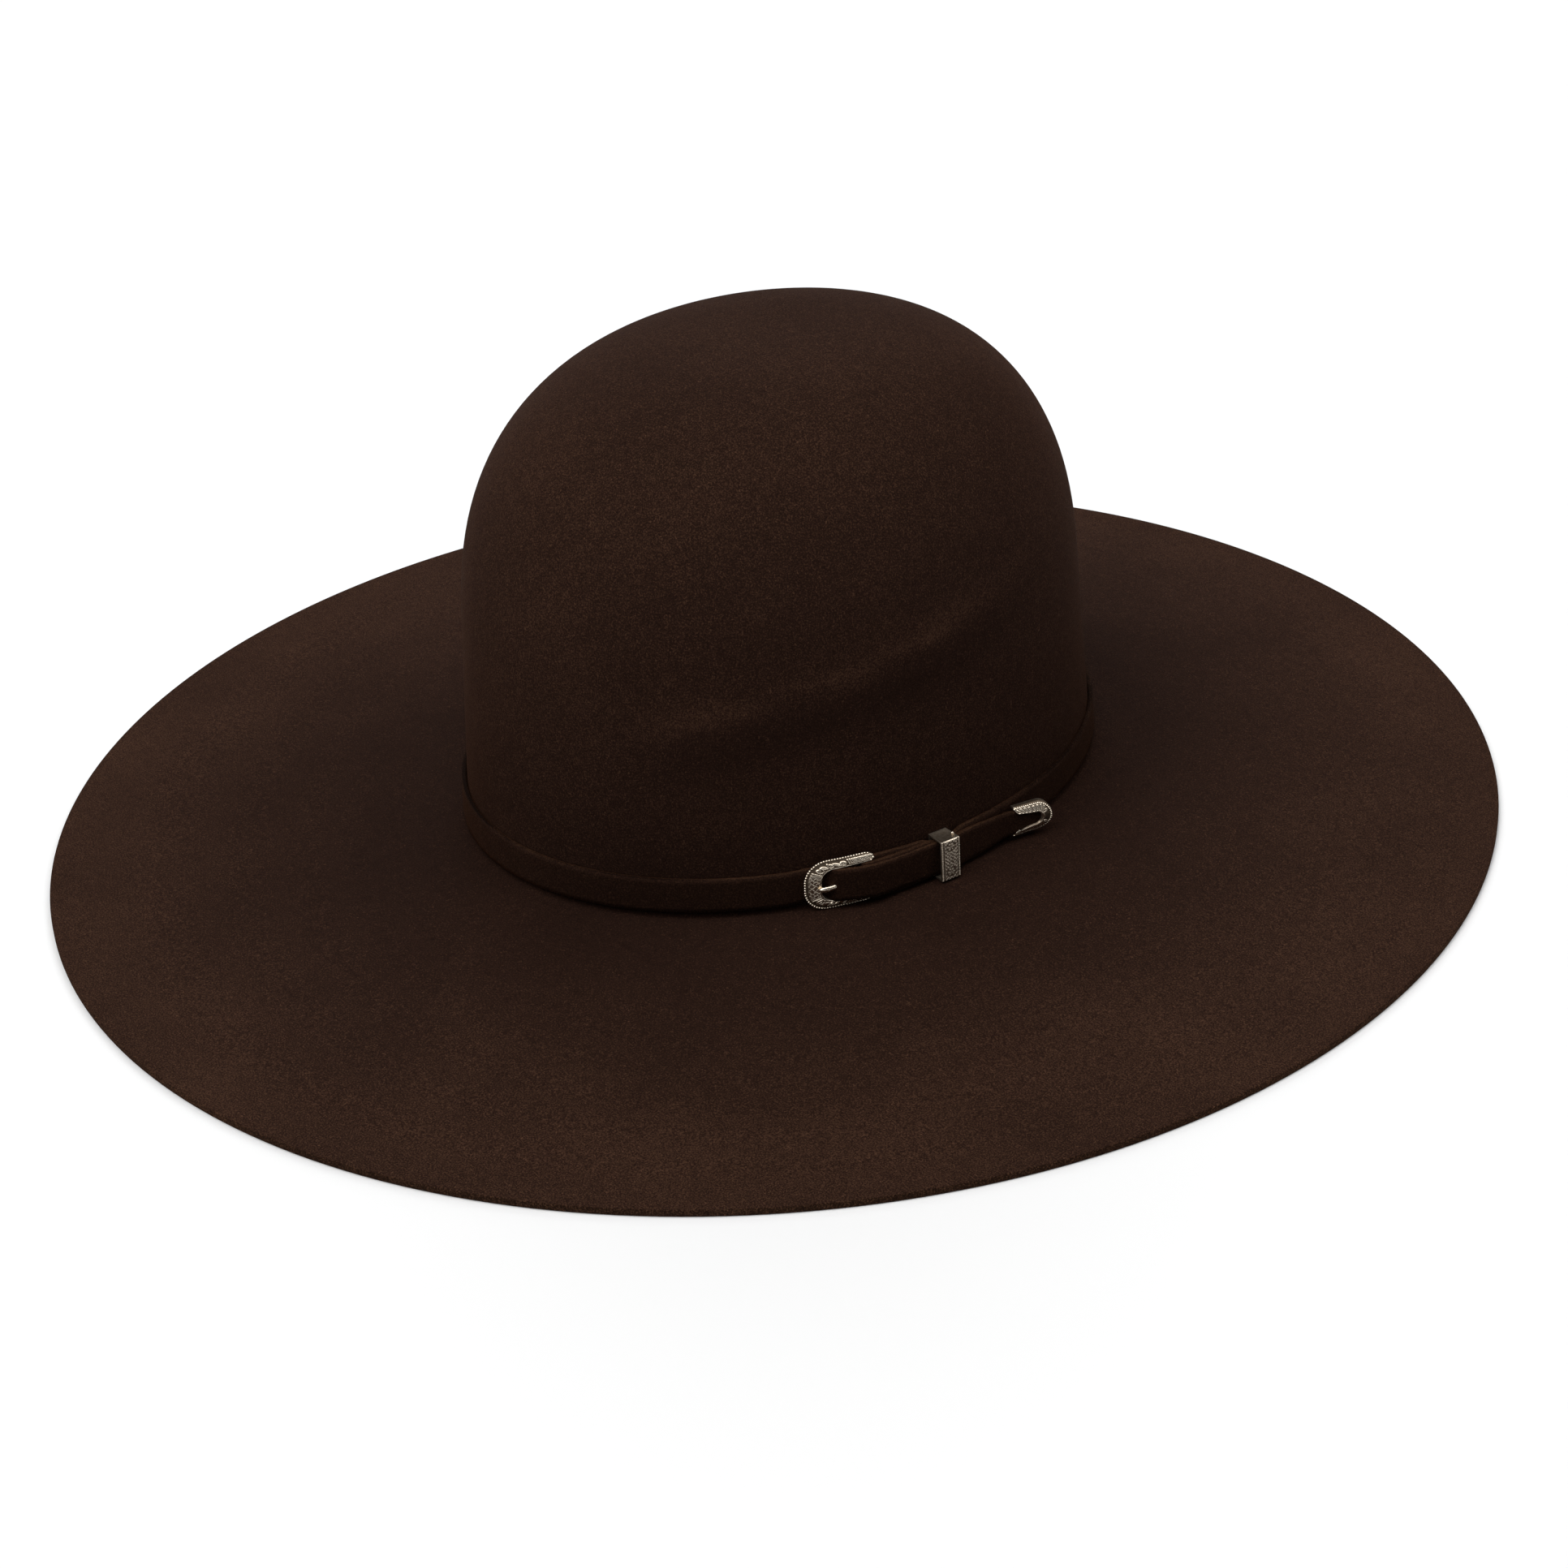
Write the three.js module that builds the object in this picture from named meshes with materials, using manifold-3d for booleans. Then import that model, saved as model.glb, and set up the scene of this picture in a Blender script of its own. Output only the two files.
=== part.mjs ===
// A wide-brimmed felt hat with an uncreased crown, and a narrow felt band that is fastened
// on the wearer's left by a small cast buckle, a keeper loop and a metal tip.
// Millimetres, +Z up. The hat lies on its brim: the origin is on the surface, under the brim's
// centre, the front of the hat is at -Y, the back at +Y and the wearer's left at +X.

import * as THREE from 'three';
import { mergeVertices } from 'three/addons/utils/BufferGeometryUtils.js';
import Module from 'manifold-3d';

// Felt body: crown and brim are one piece of felt
const FELT_THICK = 2.2;
const BRIM_LENGTH = 460;
const BRIM_WIDTH = 432;
const BRIM_RISE = 4.8;          // how much higher the brim lies at the crown than at its rim
const RIM_FLAT = 9;             // margin of the brim that lies flat on the surface
const CROWN_LENGTH = 210;
const CROWN_WIDTH = 176;
const CROWN_HEIGHT = 141.4;     // above the brim beside the crown
const WALL_HEIGHT = 62.5;       // straight part of the crown, below its dome
const FRONT_DRAFT = 0.104;      // how far the crown draws in for each millimetre of its height
const BACK_DRAFT = 0.098;
const SIDE_DRAFT = 0.022;
const CROWN_OFFSET = 1;         // the crown's foot sits this far behind the brim's middle
const LEAN_FRONT = 2.1;         // how far the crown's top leans
const LEAN_RIGHT = 1.7;
const DOME_BACK = 10.5;         // the dome's top lies this far behind the wall's middle
const DOME_LEFT = 1.1;
const DOME_RISE_POWER = 0.78;   // fullness of the dome's curve, 1 is an ellipse
const DOME_REACH_POWER = 0.71;
const DOME_CROWDING = 1.15;     // above 1 the rings lie closer where the dome is tightest
const BREAK_RADIUS = 1.4;       // inner curve where the crown turns into the brim
const BREAK_STEPS = 3;
const FELT_STEPS = 76;          // steps round the hat
const DOME_STEPS = 9;

// Felt band, and the clearance that touching pieces keep
const GAP = 0.3;
const BAND_THICK = 1.3;
const BAND_WIDTH = 10.2;
const BAND_CENTRE = 7.3;        // height of the band's middle over the brim
const BAND_SIDE_SPARE = 0.8;    // between the strap and each arm of the buckle
const BAND_END_SHARE = 0.25;    // width that is left at the strap's rounded end
const BAND_STEP = 5;            // length of its facets where it runs plainly round the crown
const BAND_FINE_STEP = 1.6;     // and where it passes the fittings
const PLAIN_RUN = 50;
const FOLD_END = 13;            // length of the end that is folded back behind the bar
const FOLD_STEPS = 8;
const CURVE_STEPS = 5;

// Buckle: a horseshoe frame, open towards the back of the hat, whose bar joins its two arms
const BUCKLE_AT = -58.3;        // its closed end, along the crown's foot from the hat's left side
const FRAME_LENGTH = 20;
const FRAME_HEIGHT = 15.1;
const FRAME_CENTRE = 7.85;
const FRAME_DEPTH = 2;
const FRAME_END = 4.8;          // width of the closed end
const ARM_WIDTH = 2.7;
const FRAME_CORNER = 5;
const OPENING_CORNER = 2.6;
const FRAME_BEVEL = 0.45;
const BAR_RADIUS = 0.7;
const BAR_SIDES = 12;
const BAR_SET = 1.7;            // bar's middle before the ends of the arms
const TONGUE_WIDTH = 1.6;
const TONGUE_THICK = 1.1;
const TONGUE_REST = 1.2;        // length of the tongue that lies on the closed end

// Keeper: a square loop of metal round the band
const KEEPER_SPACE = 21.6;      // from the bar to the keeper
const KEEPER_LENGTH = 6.3;
const KEEPER_HEIGHT = 12.3;
const KEEPER_DEPTH = 6.6;
const KEEPER_CENTRE = 6.9;
const METAL_WALL = 0.75;

// Tip: a horseshoe cap on the band's loose end
const TIP_SPACE = 24;           // from the keeper to the tip
const TIP_LENGTH = 12.8;
const TIP_HEIGHT = 10;
const TIP_CENTRE = 6.4;
const TIP_ARM = 3;
const TIP_END = 3.6;            // metal between the notch and the rounded end
const TURN_RUN = 4;             // over this length the loose end turns outward
const STRAIGHT_LEAD = 1.5;      // and from this far before the tip it is straight
const TIP_TURN = THREE.MathUtils.degToRad(18);

// Beaded borders of the castings
const BEAD_RADIUS = 0.5;
const BEAD_PITCH = 1.3;

const WELD = 1e-4;              // points closer than this are one point

const wasm = await Module();
wasm.setup();

const crownHalfLength = CROWN_LENGTH / 2;
const crownHalfWidth = CROWN_WIDTH / 2;
const crownFoot = FELT_THICK + BRIM_RISE;
const footCurve = new THREE.EllipseCurve(0, 0, crownHalfWidth, crownHalfLength, 0, 2 * Math.PI);
const footLength = footCurve.getLength();

// Half sizes of the crown's oval at a height over the brim, for the front or back half
function crownHalves(up, back) {
  const draft = back ? BACK_DRAFT : FRONT_DRAFT;
  return { width: crownHalfWidth - SIDE_DRAFT * up, length: crownHalfLength - draft * up };
}

// The crown leans a little forward and to the right, as if it were turned about its foot
function lean(point, up) {
  const right = LEAN_RIGHT / CROWN_HEIGHT;
  const front = LEAN_FRONT / CROWN_HEIGHT;
  const rise = right * point.x + front * point.y;
  return point.add(new THREE.Vector3(-right * up, CROWN_OFFSET - front * up, rise));
}

// Angle of a place on the crown's oval, by the length of felt from the hat's left side to it
function turnAt(along) {
  return 2 * Math.PI * footCurve.getUtoTmapping(0, THREE.MathUtils.euclideanModulo(along, footLength));
}

// Direction that the foot of the wall faces there
function facing(along) {
  const turn = turnAt(along);
  return Math.atan2(Math.sin(turn) / crownHalfLength, Math.cos(turn) / crownHalfWidth);
}

// A point beside the crown's wall: along its foot, up from the brim and out from the felt
function besideCrown(along, up, out) {
  const turn = turnAt(along);
  const halves = crownHalves(up, Math.sin(turn) > 0);
  const normal = new THREE.Vector2(Math.cos(turn) / halves.width, Math.sin(turn) / halves.length);
  normal.normalize().multiplyScalar(out);
  const x = halves.width * Math.cos(turn) + normal.x;
  const y = halves.length * Math.sin(turn) + normal.y;
  return lean(new THREE.Vector3(x, y, crownFoot + up), up);
}

// Bends a geometry that was made flat, with x along, y up and z out, round the crown
function bendRoundCrown(geometry) {
  const position = geometry.attributes.position;
  for (let i = 0; i < position.count; i++) {
    const bent = besideCrown(position.getX(i), position.getY(i), position.getZ(i));
    position.setXYZ(i, bent.x, bent.y, bent.z);
  }
  return geometry;
}

// Closed mesh to solid and back, for the pieces that are joined or cut
function toSolid(geometry) {
  const bare = geometry.index ? geometry.toNonIndexed() : geometry.clone();
  bare.deleteAttribute('normal');
  bare.deleteAttribute('uv');
  const merged = mergeVertices(bare, WELD);
  return new wasm.Manifold(new wasm.Mesh({
    numProp: 3,
    vertProperties: new Float32Array(merged.attributes.position.array),
    triVerts: new Uint32Array(merged.index.array),
  }));
}

function toGeometry(solid) {
  const mesh = solid.getMesh();
  const geometry = new THREE.BufferGeometry();
  geometry.setAttribute('position', new THREE.BufferAttribute(mesh.vertProperties, 3));
  geometry.setIndex(new THREE.BufferAttribute(mesh.triVerts, 1));
  const facets = geometry.toNonIndexed();
  facets.computeVertexNormals();
  return facets;
}

// A value that eases from row to row of a table whose rows are in order along the band
function eased(rows, along, column) {
  let next = rows.findIndex((row) => row.along > along);
  if (next < 0) next = rows.length - 1;
  if (next === 0) next = 1;
  const from = rows[next - 1];
  const to = rows[next];
  const share = THREE.MathUtils.smoothstep(along, from.along, to.along);
  return THREE.MathUtils.lerp(from[column], to[column], share);
}

// Places along the crown's foot, each measured from the one before
const barAt = BUCKLE_AT + FRAME_LENGTH - BAR_SET;
const keeperAt = barAt + KEEPER_SPACE;
const tipAt = keeperAt + KEEPER_LENGTH + TIP_SPACE;
const straightAt = tipAt - STRAIGHT_LEAD;
const bandEndAt = tipAt + TIP_LENGTH - METAL_WALL - GAP;

// Layers of the band, each by the middle of its thickness, out from the felt
const layer = BAND_THICK + GAP;
const firstLayer = GAP + BAND_THICK / 2;
const secondLayer = firstLayer + layer;
const thirdLayer = secondLayer + layer;
const foldRadius = BAR_RADIUS + GAP + BAND_THICK / 2;
const barOut = firstLayer + foldRadius;
const overBar = barOut + foldRadius + layer;
const inKeeper = GAP + METAL_WALL + firstLayer;

// Felt body

function domePoint(share) {
  const angle = Math.pow(share, DOME_CROWDING) * Math.PI / 2;
  const rise = Math.pow(Math.sin(angle), DOME_RISE_POWER);
  const up = THREE.MathUtils.lerp(WALL_HEIGHT, CROWN_HEIGHT, rise);
  const reach = crownHalves(up, true).width * Math.pow(Math.cos(angle), DOME_REACH_POWER);
  return new THREE.Vector2(reach, crownFoot + up);
}

// The felt's outer profile at the hat's side, from the crown's top to the rim
function outerProfile() {
  const points = [new THREE.Vector2(0, crownFoot + CROWN_HEIGHT)];
  for (let i = DOME_STEPS - 1; i >= 0; i--) points.push(domePoint(i / DOME_STEPS));
  const half = WALL_HEIGHT / 2;
  points.push(new THREE.Vector2(crownHalves(half, true).width, crownFoot + half));
  const curve = new THREE.Path();
  const curveMiddle = [crownHalfWidth + BREAK_RADIUS, crownFoot + BREAK_RADIUS];
  curve.absarc(...curveMiddle, BREAK_RADIUS, Math.PI, 1.5 * Math.PI);
  points.push(...curve.getPoints(BREAK_STEPS));
  const flatFrom = BRIM_WIDTH / 2 - RIM_FLAT;
  const middle = (crownHalfWidth + flatFrom) / 2;
  points.push(new THREE.Vector2(middle, FELT_THICK + BRIM_RISE / 2));
  points.push(new THREE.Vector2(flatFrom, FELT_THICK));
  points.push(new THREE.Vector2(BRIM_WIDTH / 2, FELT_THICK));
  return points;
}

// The felt's inner profile lies one thickness inside the outer one, at right angles to it
function innerProfile(outer) {
  const inner = outer.map((point, i) => {
    const before = outer[Math.max(i - 1, 0)];
    const after = outer[Math.min(i + 1, outer.length - 1)];
    const side = new THREE.Vector2(before.y - after.y, after.x - before.x).normalize();
    return point.clone().addScaledVector(side, -FELT_THICK);
  });
  inner[0].set(0, outer[0].y - FELT_THICK);
  inner[inner.length - 2].set(outer[outer.length - 2].x, 0);
  inner[inner.length - 1].set(outer[outer.length - 1].x, 0);
  return inner;
}

// Stretches the round form to the hat's oval: long crown, nearly round brim, leaning dome
function makeOval(geometry) {
  const position = geometry.attributes.position;
  const brimSpread = (BRIM_LENGTH - CROWN_LENGTH) / (BRIM_WIDTH - CROWN_WIDTH);
  const slope = BRIM_WIDTH / 2 - RIM_FLAT - crownHalfWidth;
  for (let i = 0; i < position.count; i++) {
    const x = position.getX(i);
    const y = position.getY(i);
    const z = position.getZ(i);
    const reach = Math.hypot(x, y);
    const up = Math.max(z - crownFoot, 0);
    const halves = crownHalves(up, y > 0);
    const beyond = Math.max(reach - halves.width, 0);
    const longer = (halves.length + beyond * brimSpread) / (halves.width + beyond);
    const stretched = new THREE.Vector3(x, y * longer, z);
    const inward = up > WALL_HEIGHT ? 1 - reach / halves.width : 0;
    const leaning = lean(stretched.clone(), up);
    leaning.x += DOME_LEFT * inward;
    leaning.y += DOME_BACK * inward;
    stretched.lerp(leaning, THREE.MathUtils.clamp(1 - beyond / slope, 0, 1));
    position.setXYZ(i, stretched.x, stretched.y, stretched.z);
  }
  return geometry;
}

function feltBody() {
  const outer = outerProfile();
  const profile = [...outer, ...innerProfile(outer).reverse()];
  const round = new THREE.LatheGeometry(profile.reverse(), FELT_STEPS);
  round.rotateX(Math.PI / 2);
  return makeOval(round);
}

// Felt band: one strap, folded round the buckle's bar and then laid once round the crown

const frameFace = GAP + BAND_THICK + GAP + FRAME_DEPTH;
const squeezed = FRAME_HEIGHT - 2 * ARM_WIDTH - 2 * BAND_SIDE_SPARE;
const inTip = TIP_HEIGHT - 2 * METAL_WALL - 2 * GAP;
const keeperPast = keeperAt + KEEPER_LENGTH;
const tipBend = tipAt + TIP_LENGTH - TIP_HEIGHT / 2;
const again = footLength;

// Round the crown on the felt, under the buckle's closed end, over the bar and the strap's own
// fixed end, through the keeper and into the tip
const bandRoute = [
  { along: barAt, out: firstLayer, up: FRAME_CENTRE, width: squeezed },
  { along: barAt + BAR_SET, out: firstLayer, up: FRAME_CENTRE, width: squeezed },
  { along: keeperAt - 2 * METAL_WALL - layer, out: firstLayer, up: BAND_CENTRE, width: BAND_WIDTH },
  { along: keeperAt - METAL_WALL, out: inKeeper, up: KEEPER_CENTRE, width: BAND_WIDTH },
  { along: keeperPast + METAL_WALL, out: inKeeper, up: KEEPER_CENTRE, width: BAND_WIDTH },
  { along: keeperPast + KEEPER_LENGTH, out: firstLayer, up: BAND_CENTRE, width: BAND_WIDTH },
  { along: again + BUCKLE_AT - FRAME_END, out: firstLayer, up: BAND_CENTRE, width: BAND_WIDTH },
  { along: again + BUCKLE_AT + FRAME_END / 2, out: firstLayer, up: FRAME_CENTRE, width: squeezed },
  { along: again + BUCKLE_AT + FRAME_END, out: firstLayer, up: FRAME_CENTRE, width: squeezed },
  { along: again + barAt - foldRadius, out: overBar, up: BAND_CENTRE, width: squeezed },
  { along: again + barAt + foldRadius, out: overBar, up: BAND_CENTRE, width: BAND_WIDTH },
  { along: again + barAt + FOLD_END, out: thirdLayer, up: KEEPER_CENTRE, width: BAND_WIDTH },
  { along: again + keeperAt - METAL_WALL, out: inKeeper + layer, up: KEEPER_CENTRE, width: BAND_WIDTH },
  { along: again + keeperPast + METAL_WALL, out: inKeeper + layer, up: KEEPER_CENTRE, width: BAND_WIDTH },
  { along: again + keeperPast + KEEPER_LENGTH, out: secondLayer, up: TIP_CENTRE, width: BAND_WIDTH },
  { along: again + tipAt - METAL_WALL, out: secondLayer, up: TIP_CENTRE, width: inTip },
  { along: again + tipBend, out: secondLayer, up: TIP_CENTRE, width: inTip },
  { along: again + bandEndAt, out: secondLayer, up: TIP_CENTRE, width: inTip * BAND_END_SHARE },
];

// Just before the tip the loose end turns away from the crown
function bandOut(along) {
  const past = THREE.MathUtils.clamp(along - (again + straightAt - TURN_RUN), 0, TURN_RUN);
  return eased(bandRoute, along, 'out') + Math.tan(TIP_TURN) * past * past / (2 * TURN_RUN);
}

// Middle line of the strap seen from above, x out from the felt and y along the foot
function bandLine() {
  const line = [];
  for (let i = 0; i <= FOLD_STEPS; i++) {
    const share = i / FOLD_STEPS;
    const rise = THREE.MathUtils.smoothstep(share, 0, 1);
    const out = THREE.MathUtils.lerp(secondLayer, barOut + foldRadius, rise);
    line.push(new THREE.Vector2(out, barAt + FOLD_END * (1 - share)));
  }
  for (let i = 1; i <= FOLD_STEPS; i++) {
    const angle = Math.PI * i / FOLD_STEPS;
    const out = barOut + foldRadius * Math.cos(angle);
    line.push(new THREE.Vector2(out, barAt - foldRadius * Math.sin(angle)));
  }
  for (let row = 1; row < bandRoute.length; row++) {
    const from = bandRoute[row - 1].along;
    const to = bandRoute[row].along;
    const steps = Math.ceil((to - from) / (to - from > PLAIN_RUN ? BAND_STEP : BAND_FINE_STEP));
    for (let i = 1; i <= steps; i++) {
      const along = THREE.MathUtils.lerp(from, to, i / steps);
      line.push(new THREE.Vector2(bandOut(along), along));
    }
  }
  return line;
}

// Points to one side of a line
function besideLine(line, distance) {
  return line.map((point, i) => {
    const before = line[Math.max(i - 1, 0)];
    const after = line[Math.min(i + 1, line.length - 1)];
    const side = new THREE.Vector2(after.y - before.y, before.x - after.x).normalize();
    return point.clone().addScaledVector(side, distance);
  });
}

// The straight loose end: x along the strap from where it begins, y up and z out of its front
const looseEnd = new THREE.Group();
looseEnd.position.copy(besideCrown(straightAt, TIP_CENTRE, bandOut(again + straightAt)));
looseEnd.rotation.set(Math.PI / 2, 0, facing(straightAt) + Math.PI / 2 - TIP_TURN, 'ZYX');
looseEnd.updateMatrix();

// One long bar is bent along the strap's line, with its last part straight
function bandSolid() {
  const line = bandLine();
  const sides = { inner: besideLine(line, -BAND_THICK / 2), outer: besideLine(line, BAND_THICK / 2) };
  const steps = line.length - 1;
  const strap = new THREE.BoxGeometry(steps, 1, 1, steps, 1, 1).translate(steps / 2, 0, 0);
  const straightOut = bandOut(again + straightAt);
  const position = strap.attributes.position;
  for (let i = 0; i < position.count; i++) {
    const side = position.getZ(i) > 0 ? sides.outer : sides.inner;
    const { x: out, y: along } = side[Math.round(position.getX(i))];
    const across = position.getY(i) * eased(bandRoute, along, 'width');
    const up = eased(bandRoute, along, 'up') + across;
    const past = along - again - straightAt;
    const straight = new THREE.Vector3(past, up - TIP_CENTRE, out - straightOut);
    const bent = past > 0 ? straight.applyMatrix4(looseEnd.matrix) : besideCrown(along, up, out);
    position.setXYZ(i, bent.x, bent.y, bent.z);
  }
  return toSolid(strap);
}

// An outline with a thickness, half of it to each side
function flatPlate(shape, depth) {
  const geometry = new THREE.ExtrudeGeometry(shape, {
    depth,
    bevelEnabled: false,
    curveSegments: CURVE_STEPS,
  });
  return geometry.translate(0, 0, -depth / 2);
}

// Turns a flat extrusion so that x out, y along and z up become x along, y up and z out
const standUp = new THREE.Matrix4().makeBasis(
  new THREE.Vector3(0, 0, 1), new THREE.Vector3(1, 0, 0), new THREE.Vector3(0, 1, 0));

// A shape seen from above, with a width across the band, ready to be bent round the crown
function standing(shape, width, centre) {
  const geometry = flatPlate(shape, width);
  return geometry.translate(0, 0, centre).applyMatrix4(standUp);
}

// The fold has a slot for the tongue's eye
function foldSlot() {
  const reach = barOut + foldRadius + BAND_THICK / 2 + GAP / 2;
  const length = 2 * (foldRadius + BAND_THICK / 2) + GAP;
  const slot = new THREE.BoxGeometry(length, TONGUE_WIDTH + 2 * GAP, reach);
  slot.translate(barAt, BAND_CENTRE, reach / 2);
  return toSolid(bendRoundCrown(slot));
}

function hatBand() {
  return toGeometry(bandSolid().subtract(foldSlot()).subtract(tongueSolid(GAP)));
}

// Cast buckle

// Round beads along a flat line, half sunk in the face that carries them
function beads(points, centreOut, place) {
  return points.map((point) => {
    const bead = new THREE.OctahedronGeometry(BEAD_RADIUS, 0);
    bead.translate(point.x, point.y, centreOut);
    return toSolid(place(bead));
  });
}

function spaced(path) {
  return path.getSpacedPoints(Math.round(path.getLength() / BEAD_PITCH));
}

function joined(solid, others) {
  return others.reduce((whole, other) => whole.add(other), solid);
}

// The frame's edge from the end of the upper arm round the closed end to the lower arm, inset
function frameEdge(inset) {
  const top = FRAME_HEIGHT / 2 - inset;
  const corner = FRAME_CORNER - inset;
  const edge = new THREE.Path();
  edge.moveTo(FRAME_LENGTH - ARM_WIDTH / 2, top);
  edge.lineTo(FRAME_CORNER, top);
  edge.absarc(FRAME_CORNER, top - corner, corner, Math.PI / 2, Math.PI, false);
  edge.lineTo(inset, corner - top);
  edge.absarc(FRAME_CORNER, corner - top, corner, Math.PI, 1.5 * Math.PI, false);
  edge.lineTo(FRAME_LENGTH - ARM_WIDTH / 2, -top);
  return edge;
}

function frameShape() {
  const inside = FRAME_HEIGHT / 2 - ARM_WIDTH;
  const armEnd = FRAME_LENGTH - ARM_WIDTH / 2;
  const turnIn = FRAME_END + OPENING_CORNER;
  const shape = new THREE.Shape(frameEdge(0).getPoints(CURVE_STEPS));
  shape.absarc(armEnd, -inside - ARM_WIDTH / 2, ARM_WIDTH / 2, -Math.PI / 2, Math.PI / 2, false);
  shape.lineTo(turnIn, -inside);
  shape.absarc(turnIn, OPENING_CORNER - inside, OPENING_CORNER, -Math.PI / 2, -Math.PI, true);
  shape.lineTo(FRAME_END, inside - OPENING_CORNER);
  shape.absarc(turnIn, inside - OPENING_CORNER, OPENING_CORNER, Math.PI, Math.PI / 2, true);
  shape.lineTo(armEnd, inside);
  shape.absarc(armEnd, inside + ARM_WIDTH / 2, ARM_WIDTH / 2, -Math.PI / 2, Math.PI / 2, false);
  return shape;
}

function placeFrame(geometry) {
  geometry.translate(BUCKLE_AT, FRAME_CENTRE, frameFace);
  return bendRoundCrown(geometry);
}

function buckleFrame() {
  const frame = new THREE.ExtrudeGeometry(frameShape(), {
    depth: FRAME_DEPTH - 2 * FRAME_BEVEL,
    bevelThickness: FRAME_BEVEL,
    bevelSize: FRAME_BEVEL,
    bevelOffset: -FRAME_BEVEL,
    bevelSegments: 1,
    curveSegments: CURVE_STEPS,
  });
  frame.translate(0, 0, FRAME_BEVEL - FRAME_DEPTH);
  const barLength = FRAME_HEIGHT - ARM_WIDTH;
  const bar = new THREE.CylinderGeometry(BAR_RADIUS, BAR_RADIUS, barLength, BAR_SIDES);
  bar.translate(barAt - BUCKLE_AT, 0, barOut - frameFace);
  const border = spaced(frameEdge(FRAME_BEVEL + BEAD_RADIUS));
  const body = toSolid(placeFrame(frame)).add(toSolid(placeFrame(bar)));
  return toGeometry(joined(body, beads(border, 0, placeFrame)));
}

// The tongue's eye turns on the bar, and its point comes out through the strap and rests on
// the closed end; a larger copy of it cuts the strap's hole
function tongueSolid(grow) {
  const eyeRadius = BAR_RADIUS + GAP + METAL_WALL;
  const width = TONGUE_WIDTH + 2 * grow;
  const eye = new THREE.Shape().absarc(barOut, barAt, eyeRadius + grow, 0, 2 * Math.PI);
  const point = BUCKLE_AT + FRAME_END - TONGUE_REST - grow;
  const rest = frameFace + GAP;
  const arm = new THREE.Shape([
    new THREE.Vector2(barOut + eyeRadius + grow, barAt),
    new THREE.Vector2(rest + TONGUE_THICK + grow, point + TONGUE_THICK / 2),
    new THREE.Vector2(rest + TONGUE_THICK / 2, point),
    new THREE.Vector2(rest - grow, point + TONGUE_THICK / 2),
    new THREE.Vector2(barOut + eyeRadius - TONGUE_THICK - grow, barAt),
  ]);
  const parts = [eye, arm].map((shape) => toSolid(bendRoundCrown(standing(shape, width, BAND_CENTRE))));
  return parts[0].add(parts[1]);
}

function buckleTongue() {
  const bore = new THREE.Shape().absarc(barOut, barAt, BAR_RADIUS + GAP, 0, 2 * Math.PI);
  const drill = toSolid(bendRoundCrown(standing(bore, 2 * TONGUE_WIDTH, BAND_CENTRE)));
  return toGeometry(tongueSolid(0).subtract(drill));
}

// Keeper

function rectangle(left, bottom, width, height, path = new THREE.Shape()) {
  path.moveTo(left, bottom);
  path.lineTo(left + width, bottom);
  path.lineTo(left + width, bottom + height);
  path.lineTo(left, bottom + height);
  path.closePath();
  return path;
}

function keeper() {
  const bottom = KEEPER_CENTRE - KEEPER_HEIGHT / 2;
  const section = rectangle(bottom, GAP, KEEPER_HEIGHT, KEEPER_DEPTH);
  const wall = METAL_WALL;
  const hollow = [bottom + wall, GAP + wall, KEEPER_HEIGHT - 2 * wall, KEEPER_DEPTH - 2 * wall];
  section.holes.push(rectangle(...hollow, new THREE.Path()));
  const loop = new THREE.ExtrudeGeometry(section, { depth: KEEPER_LENGTH, bevelEnabled: false });
  // x up, y out and z along become x along, y up and z out
  loop.applyMatrix4(new THREE.Matrix4().makeBasis(
    new THREE.Vector3(0, 1, 0), new THREE.Vector3(0, 0, 1), new THREE.Vector3(1, 0, 0)));
  loop.translate(keeperAt, 0, 0);
  const borders = [BEAD_RADIUS, KEEPER_LENGTH - BEAD_RADIUS].map((inset) => {
    const low = new THREE.Vector2(keeperAt + inset, bottom + BEAD_RADIUS);
    const high = new THREE.Vector2(keeperAt + inset, bottom + KEEPER_HEIGHT - BEAD_RADIUS);
    return beads(spaced(new THREE.LineCurve(low, high)), GAP + KEEPER_DEPTH, bendRoundCrown);
  });
  return toGeometry(joined(toSolid(bendRoundCrown(loop)), borders.flat()));
}

// Tip

// Its edge from one arm round the closed end to the other, inset, and begun a little way along
function tipEdge(inset, start) {
  const top = TIP_HEIGHT / 2 - inset;
  const middle = TIP_LENGTH - TIP_HEIGHT / 2;
  const edge = new THREE.Path();
  edge.moveTo(start, -top);
  edge.lineTo(middle, -top);
  edge.absarc(middle, 0, top, -Math.PI / 2, Math.PI / 2, false);
  edge.lineTo(start, top);
  return edge;
}

// Horseshoe outline, its arms' ends scooped out towards the notch
function tipShape() {
  const inside = TIP_HEIGHT / 2 - TIP_ARM;
  const notchEnd = TIP_LENGTH - TIP_END - inside;
  const shape = new THREE.Shape(tipEdge(0, 0).getPoints(2 * CURVE_STEPS));
  shape.quadraticCurveTo(TIP_ARM / 2, inside, TIP_ARM, inside);
  shape.lineTo(notchEnd, inside);
  shape.absarc(notchEnd, 0, inside, Math.PI / 2, -Math.PI / 2, true);
  shape.lineTo(TIP_ARM, -inside);
  shape.quadraticCurveTo(TIP_ARM / 2, -inside, 0, -TIP_HEIGHT / 2);
  return shape;
}

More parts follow.
